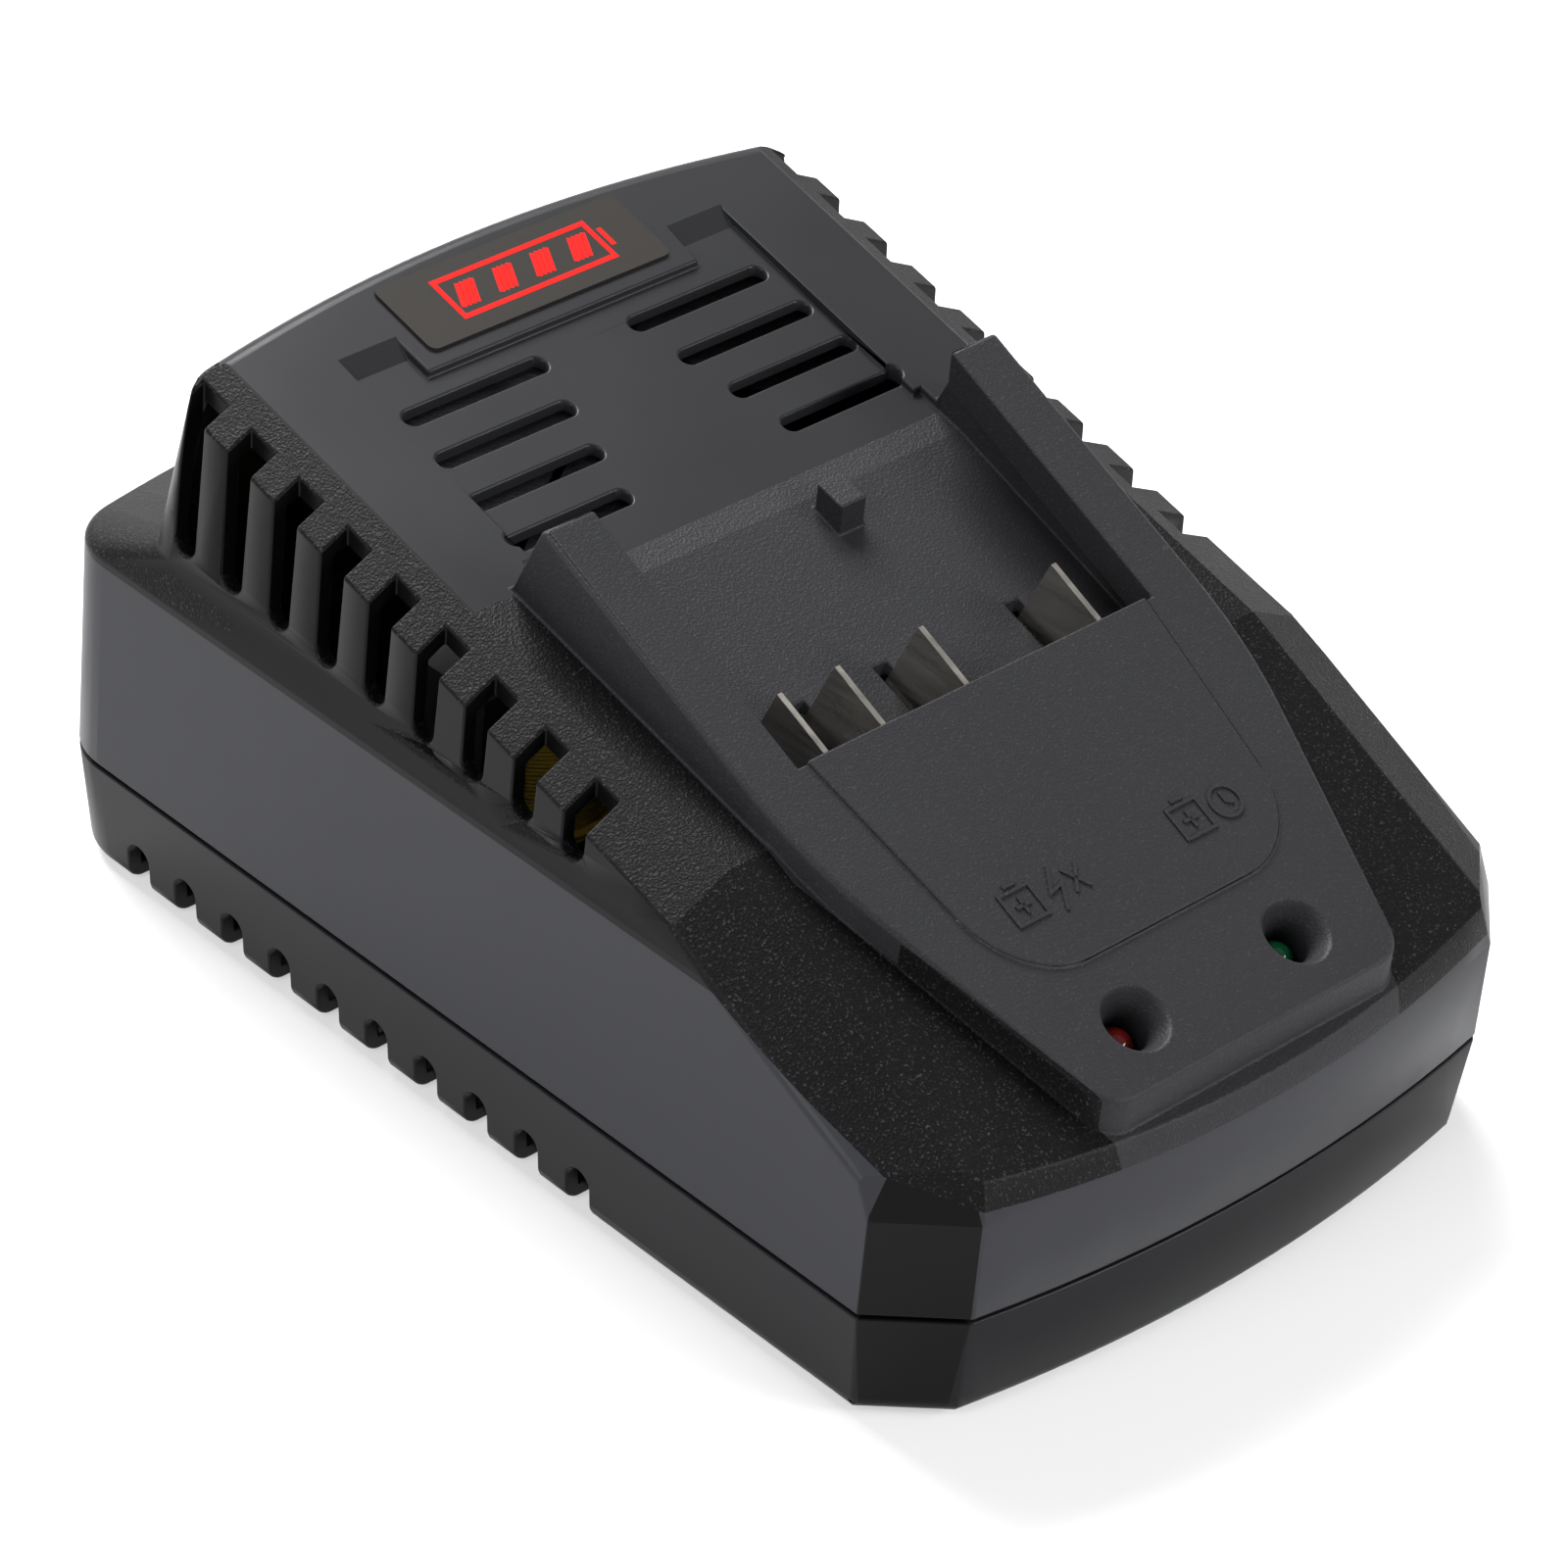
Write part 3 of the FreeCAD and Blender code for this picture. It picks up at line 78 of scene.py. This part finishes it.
class Nodes:
    # short hand for wiring a material's nodes
    def __init__(self, material):
        material.use_nodes = True
        self.tree = material.node_tree
        self.shader = next(n for n in self.tree.nodes if n.type == "BSDF_PRINCIPLED")

    def add(self, kind, **values):
        node = self.tree.nodes.new(kind)
        for name, value in values.items():
            setattr(node, name, value)
        return node

    def link(self, source, target):
        self.tree.links.new(source, target)

    def maths(self, operation, a, b=None, c=None):
        node = self.add("ShaderNodeMath", operation=operation)
        for k, value in enumerate((a, b, c)):
            if value is None:
                continue
            if isinstance(value, (int, float)):
                node.inputs[k].default_value = value
            else:
                self.link(value, node.inputs[k])
        return node.outputs[0]

    def spot(self):
        return self.add("ShaderNodeTexCoord").outputs["Object"]

    def axes(self, where):
        # x, y and z in millimetres
        parts = self.add("ShaderNodeSeparateXYZ")
        self.link(where, parts.inputs[0])
        return [self.maths("MULTIPLY", parts.outputs[k], 1000.0) for k in range(3)]

    def noise(self, where, scale, detail=2.0):
        node = self.add("ShaderNodeTexNoise")
        node.inputs["Scale"].default_value = scale
        node.inputs["Detail"].default_value = detail
        self.link(where, node.inputs["Vector"])
        return node.outputs["Fac"]

    def span(self, value, low, high, outLow=0.0, outHigh=1.0):
        # low to high becomes outLow to outHigh, and stops there
        node = self.add("ShaderNodeMapRange", clamp=True)
        self.link(value, node.inputs["Value"])
        for name, number in zip(("From Min", "From Max", "To Min", "To Max"), (low, high, outLow, outHigh)):
            node.inputs[name].default_value = number
        return node.outputs["Result"]

    def blend(self, amount, under, over):
        mix = self.add("ShaderNodeMix", data_type="RGBA")
        for k, value in ((6, under), (7, over)):
            if isinstance(value, tuple):
                mix.inputs[k].default_value = (*value, 1.0)
            else:
                self.link(value, mix.inputs[k])
        self.link(amount, mix.inputs[0])
        return mix.outputs[2]

    def bump(self, height, strength, distance):
        node = self.add("ShaderNodeBump")
        if isinstance(strength, (int, float)):
            node.inputs["Strength"].default_value = strength
        else:
            self.link(strength, node.inputs["Strength"])
        node.inputs["Distance"].default_value = distance
        self.link(height, node.inputs["Height"])
        self.link(node.outputs["Normal"], self.shader.inputs["Normal"])


def plainMaterial(name, colour, roughness, metallic=0.0, specular=0.5):
    material = bpy.data.materials.new(name)
    nodes = Nodes(material)
    nodes.shader.inputs["Base Color"].default_value = (*colour, 1.0)
    nodes.shader.inputs["Roughness"].default_value = roughness
    nodes.shader.inputs["Metallic"].default_value = metallic
    nodes.shader.inputs["Specular IOR Level"].default_value = specular
    return material, nodes


# lengths in millimetres; a line is its rise along y and its height or half width at the middle
housingLook = {
    # base colours by region are partly each surface's own tone and partly painted light and shade, set to a level
    # region by region
    "satinLit": (0.027, 0.0275, 0.032),        # skirt, painted lighter as lit
    "roof": (0.016, 0.0162, 0.0182),        # rear roof and its recess, its level partly painted light
    "platform": (0.019, 0.0192, 0.0212),    # rails, tongue and channel, their level partly painted light
    "darkShade": (0.0022, 0.0022, 0.0024),       # front top, bevels, ribs and shoulder, partly painted shade
    "lowerShade": (0.010, 0.0102, 0.0115),       # shell below the parting line, painted darker as shade
    "paintedGlintTone": (0.034, 0.034, 0.037),         # painted glints on the peaks of the grain
    "specular": 0.12,
    "grain": 2900.0,                        # noise scale of the spark-eroded grain, per metre
    "grainRough": 0.46,
    "smoothRough": 0.34,
    "grainHeight": 0.00007,                 # metres
    "grainBump": 0.5,
    "smoothBump": 0.03,
    "paintedGlintSpots": (0.60, 0.74),                  # noise levels between which a painted glint appears
    "relief": (0.35, 0.7),                  # noise levels that the bump spans
    "handled": (45.0, 0.03),                # scale and depth of the uneven gloss
    "grainY": 10.7,                         # the smooth rear roof ends here
    "creaseX": 44.6,
    "partingZ": 16.0,
    "facetY": -69.4,
    "facetX": 43.9,
    "skirtLine": (0.40, 62.8),
    "skirtTop": 46.0,
    "roofLine": (0.253, 61.0),
    "taper": (0.335, 51.2),
    "platformX": 38.2,
    "steep": 0.28,                          # upward share of the normal on a rib's face
    "ribX": 46.0,
}


def housingMaterial(look):
    # spark-eroded grain on the platform, bevels and shoulder; satin on the skirt, ribs and rear roof; the base
    # colours of these regions are partly their own tones and partly painted light and shade
    material, nodes = plainMaterial("housingPlastic", look["darkShade"], look["grainRough"], 0.0, look["specular"])
    where = nodes.spot()
    x, y, z = nodes.axes(where)
    side = nodes.maths("ABSOLUTE", x)

    def both(a, b):
        return nodes.maths("MULTIPLY", a, b)

    # skirt: below a line that falls towards the front, and its front below the chamfer
    skirtLine = nodes.maths("MULTIPLY_ADD", y, *look["skirtLine"])
    belowSkirt = nodes.maths("LESS_THAN", z, nodes.maths("MINIMUM", skirtLine, look["skirtTop"]))
    lowerShell = nodes.maths("LESS_THAN", z, look["partingZ"])
    facet = both(nodes.maths("LESS_THAN", y, look["facetY"]), nodes.maths("GREATER_THAN", side, look["facetX"]))
    # rear roof: behind the grain's edge, inside the creases, near the roof plane
    behind = nodes.maths("GREATER_THAN", y, look["grainY"])
    inside = nodes.maths("LESS_THAN", side, look["creaseX"])
    onRoof = nodes.maths("GREATER_THAN", z, nodes.maths("MULTIPLY_ADD", y, *look["roofLine"]))
    rear = both(both(behind, inside), onRoof)
    # platform: inside its outline, which tapers to the front, and the channel between the rails
    taper = nodes.maths("MINIMUM", nodes.maths("MULTIPLY_ADD", y, *look["taper"]), look["platformX"])
    onPlatform = both(nodes.maths("LESS_THAN", side, taper), nodes.maths("LESS_THAN", y, look["grainY"]))
    # steep faces above the shoulder are smooth, and keep the painted dark shade of their region
    normal = nodes.add("ShaderNodeNewGeometry")
    parts = nodes.add("ShaderNodeSeparateXYZ")
    nodes.link(normal.outputs["Normal"], parts.inputs[0])
    steep = nodes.maths("LESS_THAN", nodes.maths("ABSOLUTE", parts.outputs[2]), look["steep"])
    ribs = both(steep, nodes.maths("GREATER_THAN", side, look["ribX"]))
    satinLit = nodes.maths("MAXIMUM", belowSkirt, rear)
    grain = nodes.maths("SUBTRACT", 1.0, nodes.maths("MAXIMUM", satinLit, ribs))

    fine = nodes.noise(where, look["grain"])
    # painted light and shade by region: the skirt painted lighter; the shell below the parting line and the front
    # facets painted darker; the front top, bevels, ribs and shoulder painted dark
    colour = nodes.blend(onPlatform, look["darkShade"], look["platform"])
    colour = nodes.blend(rear, colour, look["roof"])
    colour = nodes.blend(belowSkirt, colour, look["satinLit"])
    colour = nodes.blend(lowerShell, colour, look["lowerShade"])
    colour = nodes.blend(facet, colour, look["darkShade"])
    # painted glints: a lighter colour on the grain's noise peaks stands in for its sparkle
    paintedGlintSpots = both(nodes.span(fine, *look["paintedGlintSpots"]), grain)
    nodes.link(nodes.blend(paintedGlintSpots, colour, look["paintedGlintTone"]), nodes.shader.inputs["Base Color"])
    strength = nodes.maths("MULTIPLY_ADD", grain, look["grainBump"], look["smoothBump"])
    nodes.bump(nodes.span(fine, *look["relief"]), strength, look["grainHeight"])
    rough = nodes.maths("MULTIPLY_ADD", grain, look["grainRough"] - look["smoothRough"], look["smoothRough"])
    scale, depth = look["handled"]
    handled = nodes.span(nodes.noise(where, scale, 3.0), 0.3, 0.7, -depth, depth)
    nodes.link(nodes.maths("ADD", rough, handled), nodes.shader.inputs["Roughness"])
    return material


def speckled(name, colour, roughness, scale, height, strength=0.3, specular=0.5):
    # moulded or sintered surface with an even fine noise
    material, nodes = plainMaterial(name, colour, roughness, 0.0, specular)
    fine = nodes.noise(nodes.spot(), scale)
    nodes.bump(fine, strength, height)
    nodes.link(nodes.span(fine, 0.3, 0.7, roughness - 0.05, roughness + 0.05), nodes.shader.inputs["Roughness"])
    return material


def brushed(name, colour, roughness, along):
    # metal with fine lines along one axis: noise stretched by a mapping
    material, nodes = plainMaterial(name, colour, roughness, 1.0)
    mapping = nodes.add("ShaderNodeMapping")
    mapping.inputs["Scale"].default_value = along
    nodes.link(nodes.spot(), mapping.inputs["Vector"])
    lines = nodes.noise(mapping.outputs["Vector"], 900.0)
    nodes.bump(lines, 0.15, 0.00003)
    nodes.link(nodes.span(lines, 0.3, 0.7, roughness - 0.06, roughness + 0.08), nodes.shader.inputs["Roughness"])
    return material


def woundMaterial(name, colour, pitch):
    # wound turns: fine waves up the coil's height, one for each pitch in millimetres
    material, nodes = plainMaterial(name, colour, 0.4)
    height = nodes.axes(nodes.spot())[2]
    nodes.bump(nodes.maths("SINE", nodes.maths("MULTIPLY", height, 6.2832 / pitch)), 0.4, 0.0002)
    return material


def cloudyMaterial(name, colour, roughness, through, scale, low, high):
    # resin or glass that lets some light through, with an uneven gloss between low and high
    material, nodes = plainMaterial(name, colour, roughness)
    nodes.shader.inputs["Transmission Weight"].default_value = through
    nodes.link(nodes.span(nodes.noise(nodes.spot(), scale), 0.3, 0.7, low, high), nodes.shader.inputs["Roughness"])
    return material, nodes


def lensMaterial(name, colour):
    material, nodes = cloudyMaterial(name, colour, 0.12, 0.25, 500.0, 0.08, 0.2)
    nodes.shader.inputs["IOR"].default_value = 1.5
    return material


def glassMaterial(name, colour):
    return cloudyMaterial(name, colour, 0.08, 0.6, 300.0, 0.05, 0.12)[0]


boardLook = {"resist": (0.012, 0.09, 0.035), "track": (0.04, 0.22, 0.09), "spacing": 3.0, "sway": 3.0, "bend": 0.25}


def boardMaterial(name, look):
    # solder resist over paler tracks: lines at even spacing in x, swaying by a sine along y
    material, nodes = plainMaterial(name, look["resist"], 0.35)
    x, y, z = nodes.axes(nodes.spot())
    sway = nodes.maths("MULTIPLY", nodes.maths("SINE", nodes.maths("MULTIPLY", y, look["bend"])), look["sway"])
    tracks = nodes.maths("PINGPONG", nodes.maths("ADD", x, sway), look["spacing"])
    colour = nodes.blend(nodes.span(tracks, 0.6, 0.8), look["track"], look["resist"])
    nodes.link(colour, nodes.shader.inputs["Base Color"])
    return material


finishes = {
    "housing": housingMaterial(housingLook),
    "label": speckled("labelFilm", (0.020, 0.018, 0.016), 0.5, 1500.0, 0.00003, 0.15, 0.08),
    "carrier": speckled("carrierPlastic", (0.02, 0.02, 0.021), 0.5, 1800.0, 0.00005),
    "board": boardMaterial("boardResist", boardLook),
    "ferrite": speckled("ferriteGrey", (0.03, 0.03, 0.033), 0.6, 2500.0, 0.00008),
    "coil": woundMaterial("coilTape", (0.55, 0.36, 0.05), 0.6),
    "can": speckled("canSleeve", (0.012, 0.014, 0.03), 0.3, 200.0, 0.00005),
    "aluminium": brushed("sinkAluminium", (0.72, 0.73, 0.74), 0.35, (1.0, 1.0, 0.05)),
    "epoxy": speckled("epoxyBlack", (0.018, 0.018, 0.018), 0.55, 2500.0, 0.00006),
    "fuse_glass": glassMaterial("fuseGlass", (0.85, 0.88, 0.86)),
    "film_cap": speckled("capYellow", (0.6, 0.4, 0.03), 0.35, 300.0, 0.00004),
    "red_lens": lensMaterial("lampRed", (0.16, 0.008, 0.006)),
    "green_lens": lensMaterial("lampGreen", (0.004, 0.09, 0.035)),
    "inlet": speckled("inletPlastic", (0.014, 0.014, 0.015), 0.38, 1500.0, 0.00004),
    "contact": brushed("contactNickel", (0.60, 0.57, 0.52), 0.30, (1.0, 0.08, 1.0)),
    "lead": speckled("leadSleeve", (0.25, 0.02, 0.015), 0.4, 400.0, 0.00004),
    "screw": brushed("screwZinc", (0.62, 0.62, 0.6), 0.32, (1.0, 1.0, 0.1)),
    "rubber": speckled("footRubber", (0.015, 0.015, 0.015), 0.7, 1200.0, 0.00006),
}

slotOf = {entry["node"]: entry["material_slot"] for entry in frame["record"]["subparts"]}
for name, part in frame["nodes"].items():
    for holder in part.material_slots:
        holder.material = finishes[slotOf[name]]
print("finishes set")

# lengths in millimetres, angles in degrees
softEdges = {
    "width": 0.35,
    "segments": 2,
    "angle": 32.0,         # edges sharper than this are rounded
    "flat": 0.06,          # faces that turn less than this are joined
    "weld": 0.005,
    "shortest": 0.01,
    "creaseX": 44.3,       # where the front's own round edges lie
    "reach": 3.0,
    "sideX": 51.0,
    "roundY": -33.0,
    "roundZ": 33.0,
}


def softened(name, sizes):
    # copy of a moulded shell: corners joined, flat areas made whole, and its sharp edges rounded,
    # apart from the front's crease and side edges, which are round in the model already
    mesh = frame["nodes"][name].data.copy()
    shell = bmesh.new()
    shell.from_mesh(mesh)
    bmesh.ops.remove_doubles(shell, verts=shell.verts, dist=sizes["weld"] * mm)
    bmesh.ops.dissolve_degenerate(shell, edges=shell.edges, dist=sizes["shortest"] * mm)
    bmesh.ops.dissolve_limit(shell, angle_limit=np.radians(sizes["flat"]), verts=shell.verts, edges=shell.edges)
    weight = shell.edges.layers.float.new("bevel_weight_edge")
    for edge in shell.edges:
        x, y, z = (edge.verts[0].co + edge.verts[1].co) / (2 * mm)
        nearRound = abs(abs(x) - sizes["creaseX"]) < sizes["reach"] or abs(x) > sizes["sideX"]
        madeRound = y < sizes["roundY"] and z > sizes["roundZ"] and nearRound
        edge[weight] = 1.0 if edge.calc_face_angle(0.0) > np.radians(sizes["angle"]) and not madeRound else 0.0
    shell.to_mesh(mesh)
    shell.free()
    piece = bpy.data.objects.new(name + "_moulded", mesh)
    bpy.context.scene.collection.objects.link(piece)
    bevel = piece.modifiers.new("softEdge", "BEVEL")
    bevel.width = sizes["width"] * mm
    bevel.segments = sizes["segments"]
    bevel.limit_method = "WEIGHT"
    bevel.use_clamp_overlap = False
    bevel.harden_normals = True
    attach(piece, "root")
    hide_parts(name)


for shellName in ("upper_housing", "lower_housing"):
    softened(shellName, softEdges)
print("shell edges softened")


def meshPiece(name, points, faces, material):
    mesh = bpy.data.meshes.new(name)
    mesh.from_pydata(points.tolist(), [], faces.tolist())
    mesh.update()
    piece = bpy.data.objects.new(name, mesh)
    bpy.context.scene.collection.objects.link(piece)
    mesh.materials.append(material)
    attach(piece, "root")


def onPlane(flat, height, plane):
    # flat drawing in millimetres to the sloping surface: right along x, up the slope, out along its normal
    slope = np.arctan(plane["slope"])
    origin = np.array(plane["origin"])
    along = np.array([0.0, np.cos(slope), np.sin(slope)])
    outward = np.array([0.0, -np.sin(slope), np.cos(slope)])
    across = np.array([1.0, 0.0, 0.0])
    spot = origin + flat[:, :1] * across + flat[:, 1:2] * along + np.reshape(height, (-1, 1)) * outward
    return spot * mm


strokeSink = 0.15    # how deep a stroke starts below the surface, in millimetres


def strokes(name, lines, width, height, plane, material):
    # raised strokes: each polyline is widened by half its width along its mitred normals, and extruded
    points = []
    faces = []
    start = 0
    for path, closed in lines:
        path = np.asarray(path, float)
        ahead = np.roll(path, -1, axis=0) - path
        behind = path - np.roll(path, 1, axis=0)
        if not closed:
            ahead[-1] = behind[-1]
            behind[0] = ahead[0]
        ahead /= np.linalg.norm(ahead, axis=1)[:, None]
        behind /= np.linalg.norm(behind, axis=1)[:, None]
        normal = np.stack([-(ahead + behind)[:, 1], (ahead + behind)[:, 0]], axis=1)
        normal /= np.sum(normal * np.stack([-ahead[:, 1], ahead[:, 0]], axis=1), axis=1)[:, None]
        inner = path + normal * width / 2
        outer = path - normal * width / 2
        count = len(path)
        ring = np.concatenate([inner, outer, outer, inner])
        level = np.repeat([-strokeSink, -strokeSink, height, height], count)
        points.append(onPlane(ring, level, plane))
        k = np.arange(count if closed else count - 1)
        after = (k + 1) % count
        for a in range(4):
            b = (a + 1) % 4
            faces.append(np.stack([start + a * count + k, start + a * count + after,
                                   start + b * count + after, start + b * count + k], axis=1))
        if not closed:    # the two ends
            last = count - 1
            faces.append(start + np.array([[0, count, 2 * count, 3 * count]]))
            faces.append(start + np.array([[3 * count + last, 2 * count + last, count + last, last]]))
        start += 4 * count
    meshPiece(name, np.concatenate(points), np.concatenate(faces), material)


# plain charge gauge on the label, in millimetres
gauge = {
    "length": 25.0,
    "height": 6.6,
    "line": 0.75,
    "bars": 4,
    "barLines": (-1.2, -0.45, 0.3, 1.05),    # strokes side by side that fill a bar
    "lean": 0.28,
    "margin": 1.4,
    "nub": 1.3,
    "rise": 0.03,
    "colour": (0.60, 0.009, 0.007),
}
labelPlane = {"origin": (0.25, 52.6, 77.286), "slope": 0.253}
printRed = speckled("gaugeRed", gauge["colour"], 0.6, 900.0, 0.00002, 0.1, 0.05)


def gaugeMark(sizes, plane):
    half = sizes["length"] / 2
    tall = sizes["height"] / 2
    end = half + sizes["nub"]
    lines = [([(-half, -tall), (half, -tall), (half, tall), (-half, tall)], True),
             ([(end, -tall / 2), (end, tall / 2)], False)]
    step = sizes["length"] / sizes["bars"]
    lean = tall * sizes["lean"]
    barTop = tall - sizes["margin"]
    for k in range(sizes["bars"]):
        middle = -half + (k + 0.5) * step
        for shift in sizes["barLines"]:
            lines.append(([(middle + shift - lean, -barTop), (middle + shift + lean, barTop)], False))
    strokes("label_gauge", lines, sizes["line"], sizes["rise"], plane, printRed)


gaugeMark(gauge, labelPlane)

# small raised signs on the tongue, in millimetres
tonguePlane = {"slope": 0.45, "height": 74.6}
signs = {
    "line": 0.45,
    "rise": 0.22,
    "leftSpot": (-13.8, -55.4),
    "rightSpot": (14.6, -55.4),
    "dialX": 3.0,
    "dialRadius": 2.2,
    "dialPoints": 24,
}


def tongueSigns(sizes, plane):
    def sign(name, lines, where):
        x, y = where
        base = {"origin": (x, y, plane["height"] + plane["slope"] * y), "slope": plane["slope"]}
        strokes(name, lines, sizes["line"], sizes["rise"], base, finishes["housing"])

    turn = np.linspace(0.0, 2 * np.pi, sizes["dialPoints"] + 1)[:-1]
    cell = [([(-5.4, -2.2), (-0.6, -2.2), (-0.6, 2.2), (-5.4, 2.2)], True),
            ([(-4.0, 3.0), (-2.0, 3.0)], False),
            ([(-4.2, 0.0), (-1.8, 0.0)], False),
            ([(-3.0, -1.2), (-3.0, 1.2)], False)]
    flash = [([(3.4, 3.0), (1.4, -0.2), (3.6, 0.3), (1.8, -3.0)], False),
             ([(4.6, -1.6), (7.0, 1.8)], False),
             ([(4.6, 1.8), (7.0, -1.6)], False)]
    radius = sizes["dialRadius"]
    circle = np.stack([sizes["dialX"] + radius * np.cos(turn), radius * np.sin(turn)], axis=1)
    dial = [(circle, True), ([(3.0, 1.4), (3.0, 0.0), (4.0, -0.6)], False)]
    sign("sign_left", cell + flash, sizes["leftSpot"])
    sign("sign_right", cell + dial, sizes["rightSpot"])


tongueSigns(signs, tonguePlane)
print("marks added")

# metres and watts
lampsAim = (0.0, 0.0, 0.03)
lamps = {
    "lampTop": {"spot": (0.22, 0.8, 1.02), "size": (0.9, 0.6), "power": 46.0},
    "lampLeft": {"spot": (-1.0, -0.1, 0.75), "size": (0.5, 0.8), "power": 7.0},
    "lampRight": {"spot": (0.6, -1.0, 0.6), "size": (0.6, 0.4), "power": 12.0},
}


def areaLamp(name, lamp, aim):
    data = bpy.data.lights.new(name, "AREA")
    data.shape = "RECTANGLE"
    data.size, data.size_y = lamp["size"]
    data.energy = lamp["power"]
    piece = bpy.data.objects.new(name, data)
    piece.location = lamp["spot"]
    piece.rotation_mode = "QUATERNION"
    piece.rotation_quaternion = (Vector(aim) - Vector(lamp["spot"])).to_track_quat("-Z", "Y")
    bpy.context.scene.collection.objects.link(piece)


for lampName, lampValues in lamps.items():
    areaLamp(lampName, lampValues, lampsAim)

surroundings = {
    "horizon": 0.95,
    "zenith": 0.25,
    "ceiling": 0.45,       # height on the unit sphere from which the zenith's level holds
    "floorSize": 8.0,      # metres
    "floor": (0.93, 0.93, 0.93),
    "white": 0.5,          # share of plain white in what the camera and reflections see of the floor
}


def makeWorld(values):
    # a dim ceiling that grows pale towards the horizon
    world = bpy.data.worlds.new("studio")
    bpy.context.scene.world = world
    world.use_nodes = True
    tree = world.node_tree
    back = next(n for n in tree.nodes if n.type == "BACKGROUND")
    where = tree.nodes.new("ShaderNodeTexCoord")
    parts = tree.nodes.new("ShaderNodeSeparateXYZ")
    tree.links.new(where.outputs["Generated"], parts.inputs[0])
    level = tree.nodes.new("ShaderNodeMapRange")
    level.inputs["From Max"].default_value = values["ceiling"]
    level.inputs["To Min"].default_value = values["horizon"]
    level.inputs["To Max"].default_value = values["zenith"]
    tree.links.new(parts.outputs[2], level.inputs["Value"])
    back.inputs["Color"].default_value = (1.0, 1.0, 1.0, 1.0)
    tree.links.new(level.outputs["Result"], back.inputs["Strength"])


def floorMaterial(values):
    # what the camera and the reflections see is partly plain white; the shadow stays
    material, nodes = plainMaterial("floorPale", values["floor"], 0.9, 0.0, 0.1)
    path = nodes.add("ShaderNodeLightPath")
    seen = path.outputs["Is Camera Ray"]
    for ray in ("Is Glossy Ray", "Is Transmission Ray"):
        seen = nodes.maths("MAXIMUM", seen, path.outputs[ray])
    white = nodes.add("ShaderNodeEmission")
    mix = nodes.add("ShaderNodeMixShader")
    nodes.link(nodes.maths("MULTIPLY", seen, values["white"]), mix.inputs[0])
    nodes.link(nodes.shader.outputs[0], mix.inputs[1])
    nodes.link(white.outputs[0], mix.inputs[2])
    output = next(n for n in nodes.tree.nodes if n.type == "OUTPUT_MATERIAL")
    nodes.link(mix.outputs[0], output.inputs["Surface"])
    return material


def makeFloor(values):
    half = values["floorSize"] / 2
    points = [(-half, -half, 0), (half, -half, 0), (half, half, 0), (-half, half, 0)]
    mesh = bpy.data.meshes.new("floor")
    mesh.from_pydata(points, [], [(0, 1, 2, 3)])
    floor = bpy.data.objects.new("floor", mesh)
    bpy.context.scene.collection.objects.link(floor)
    mesh.materials.append(floorMaterial(values))


makeWorld(surroundings)
makeFloor(surroundings)
bpy.context.scene.view_settings.view_transform = "Standard"
print("light and floor made")
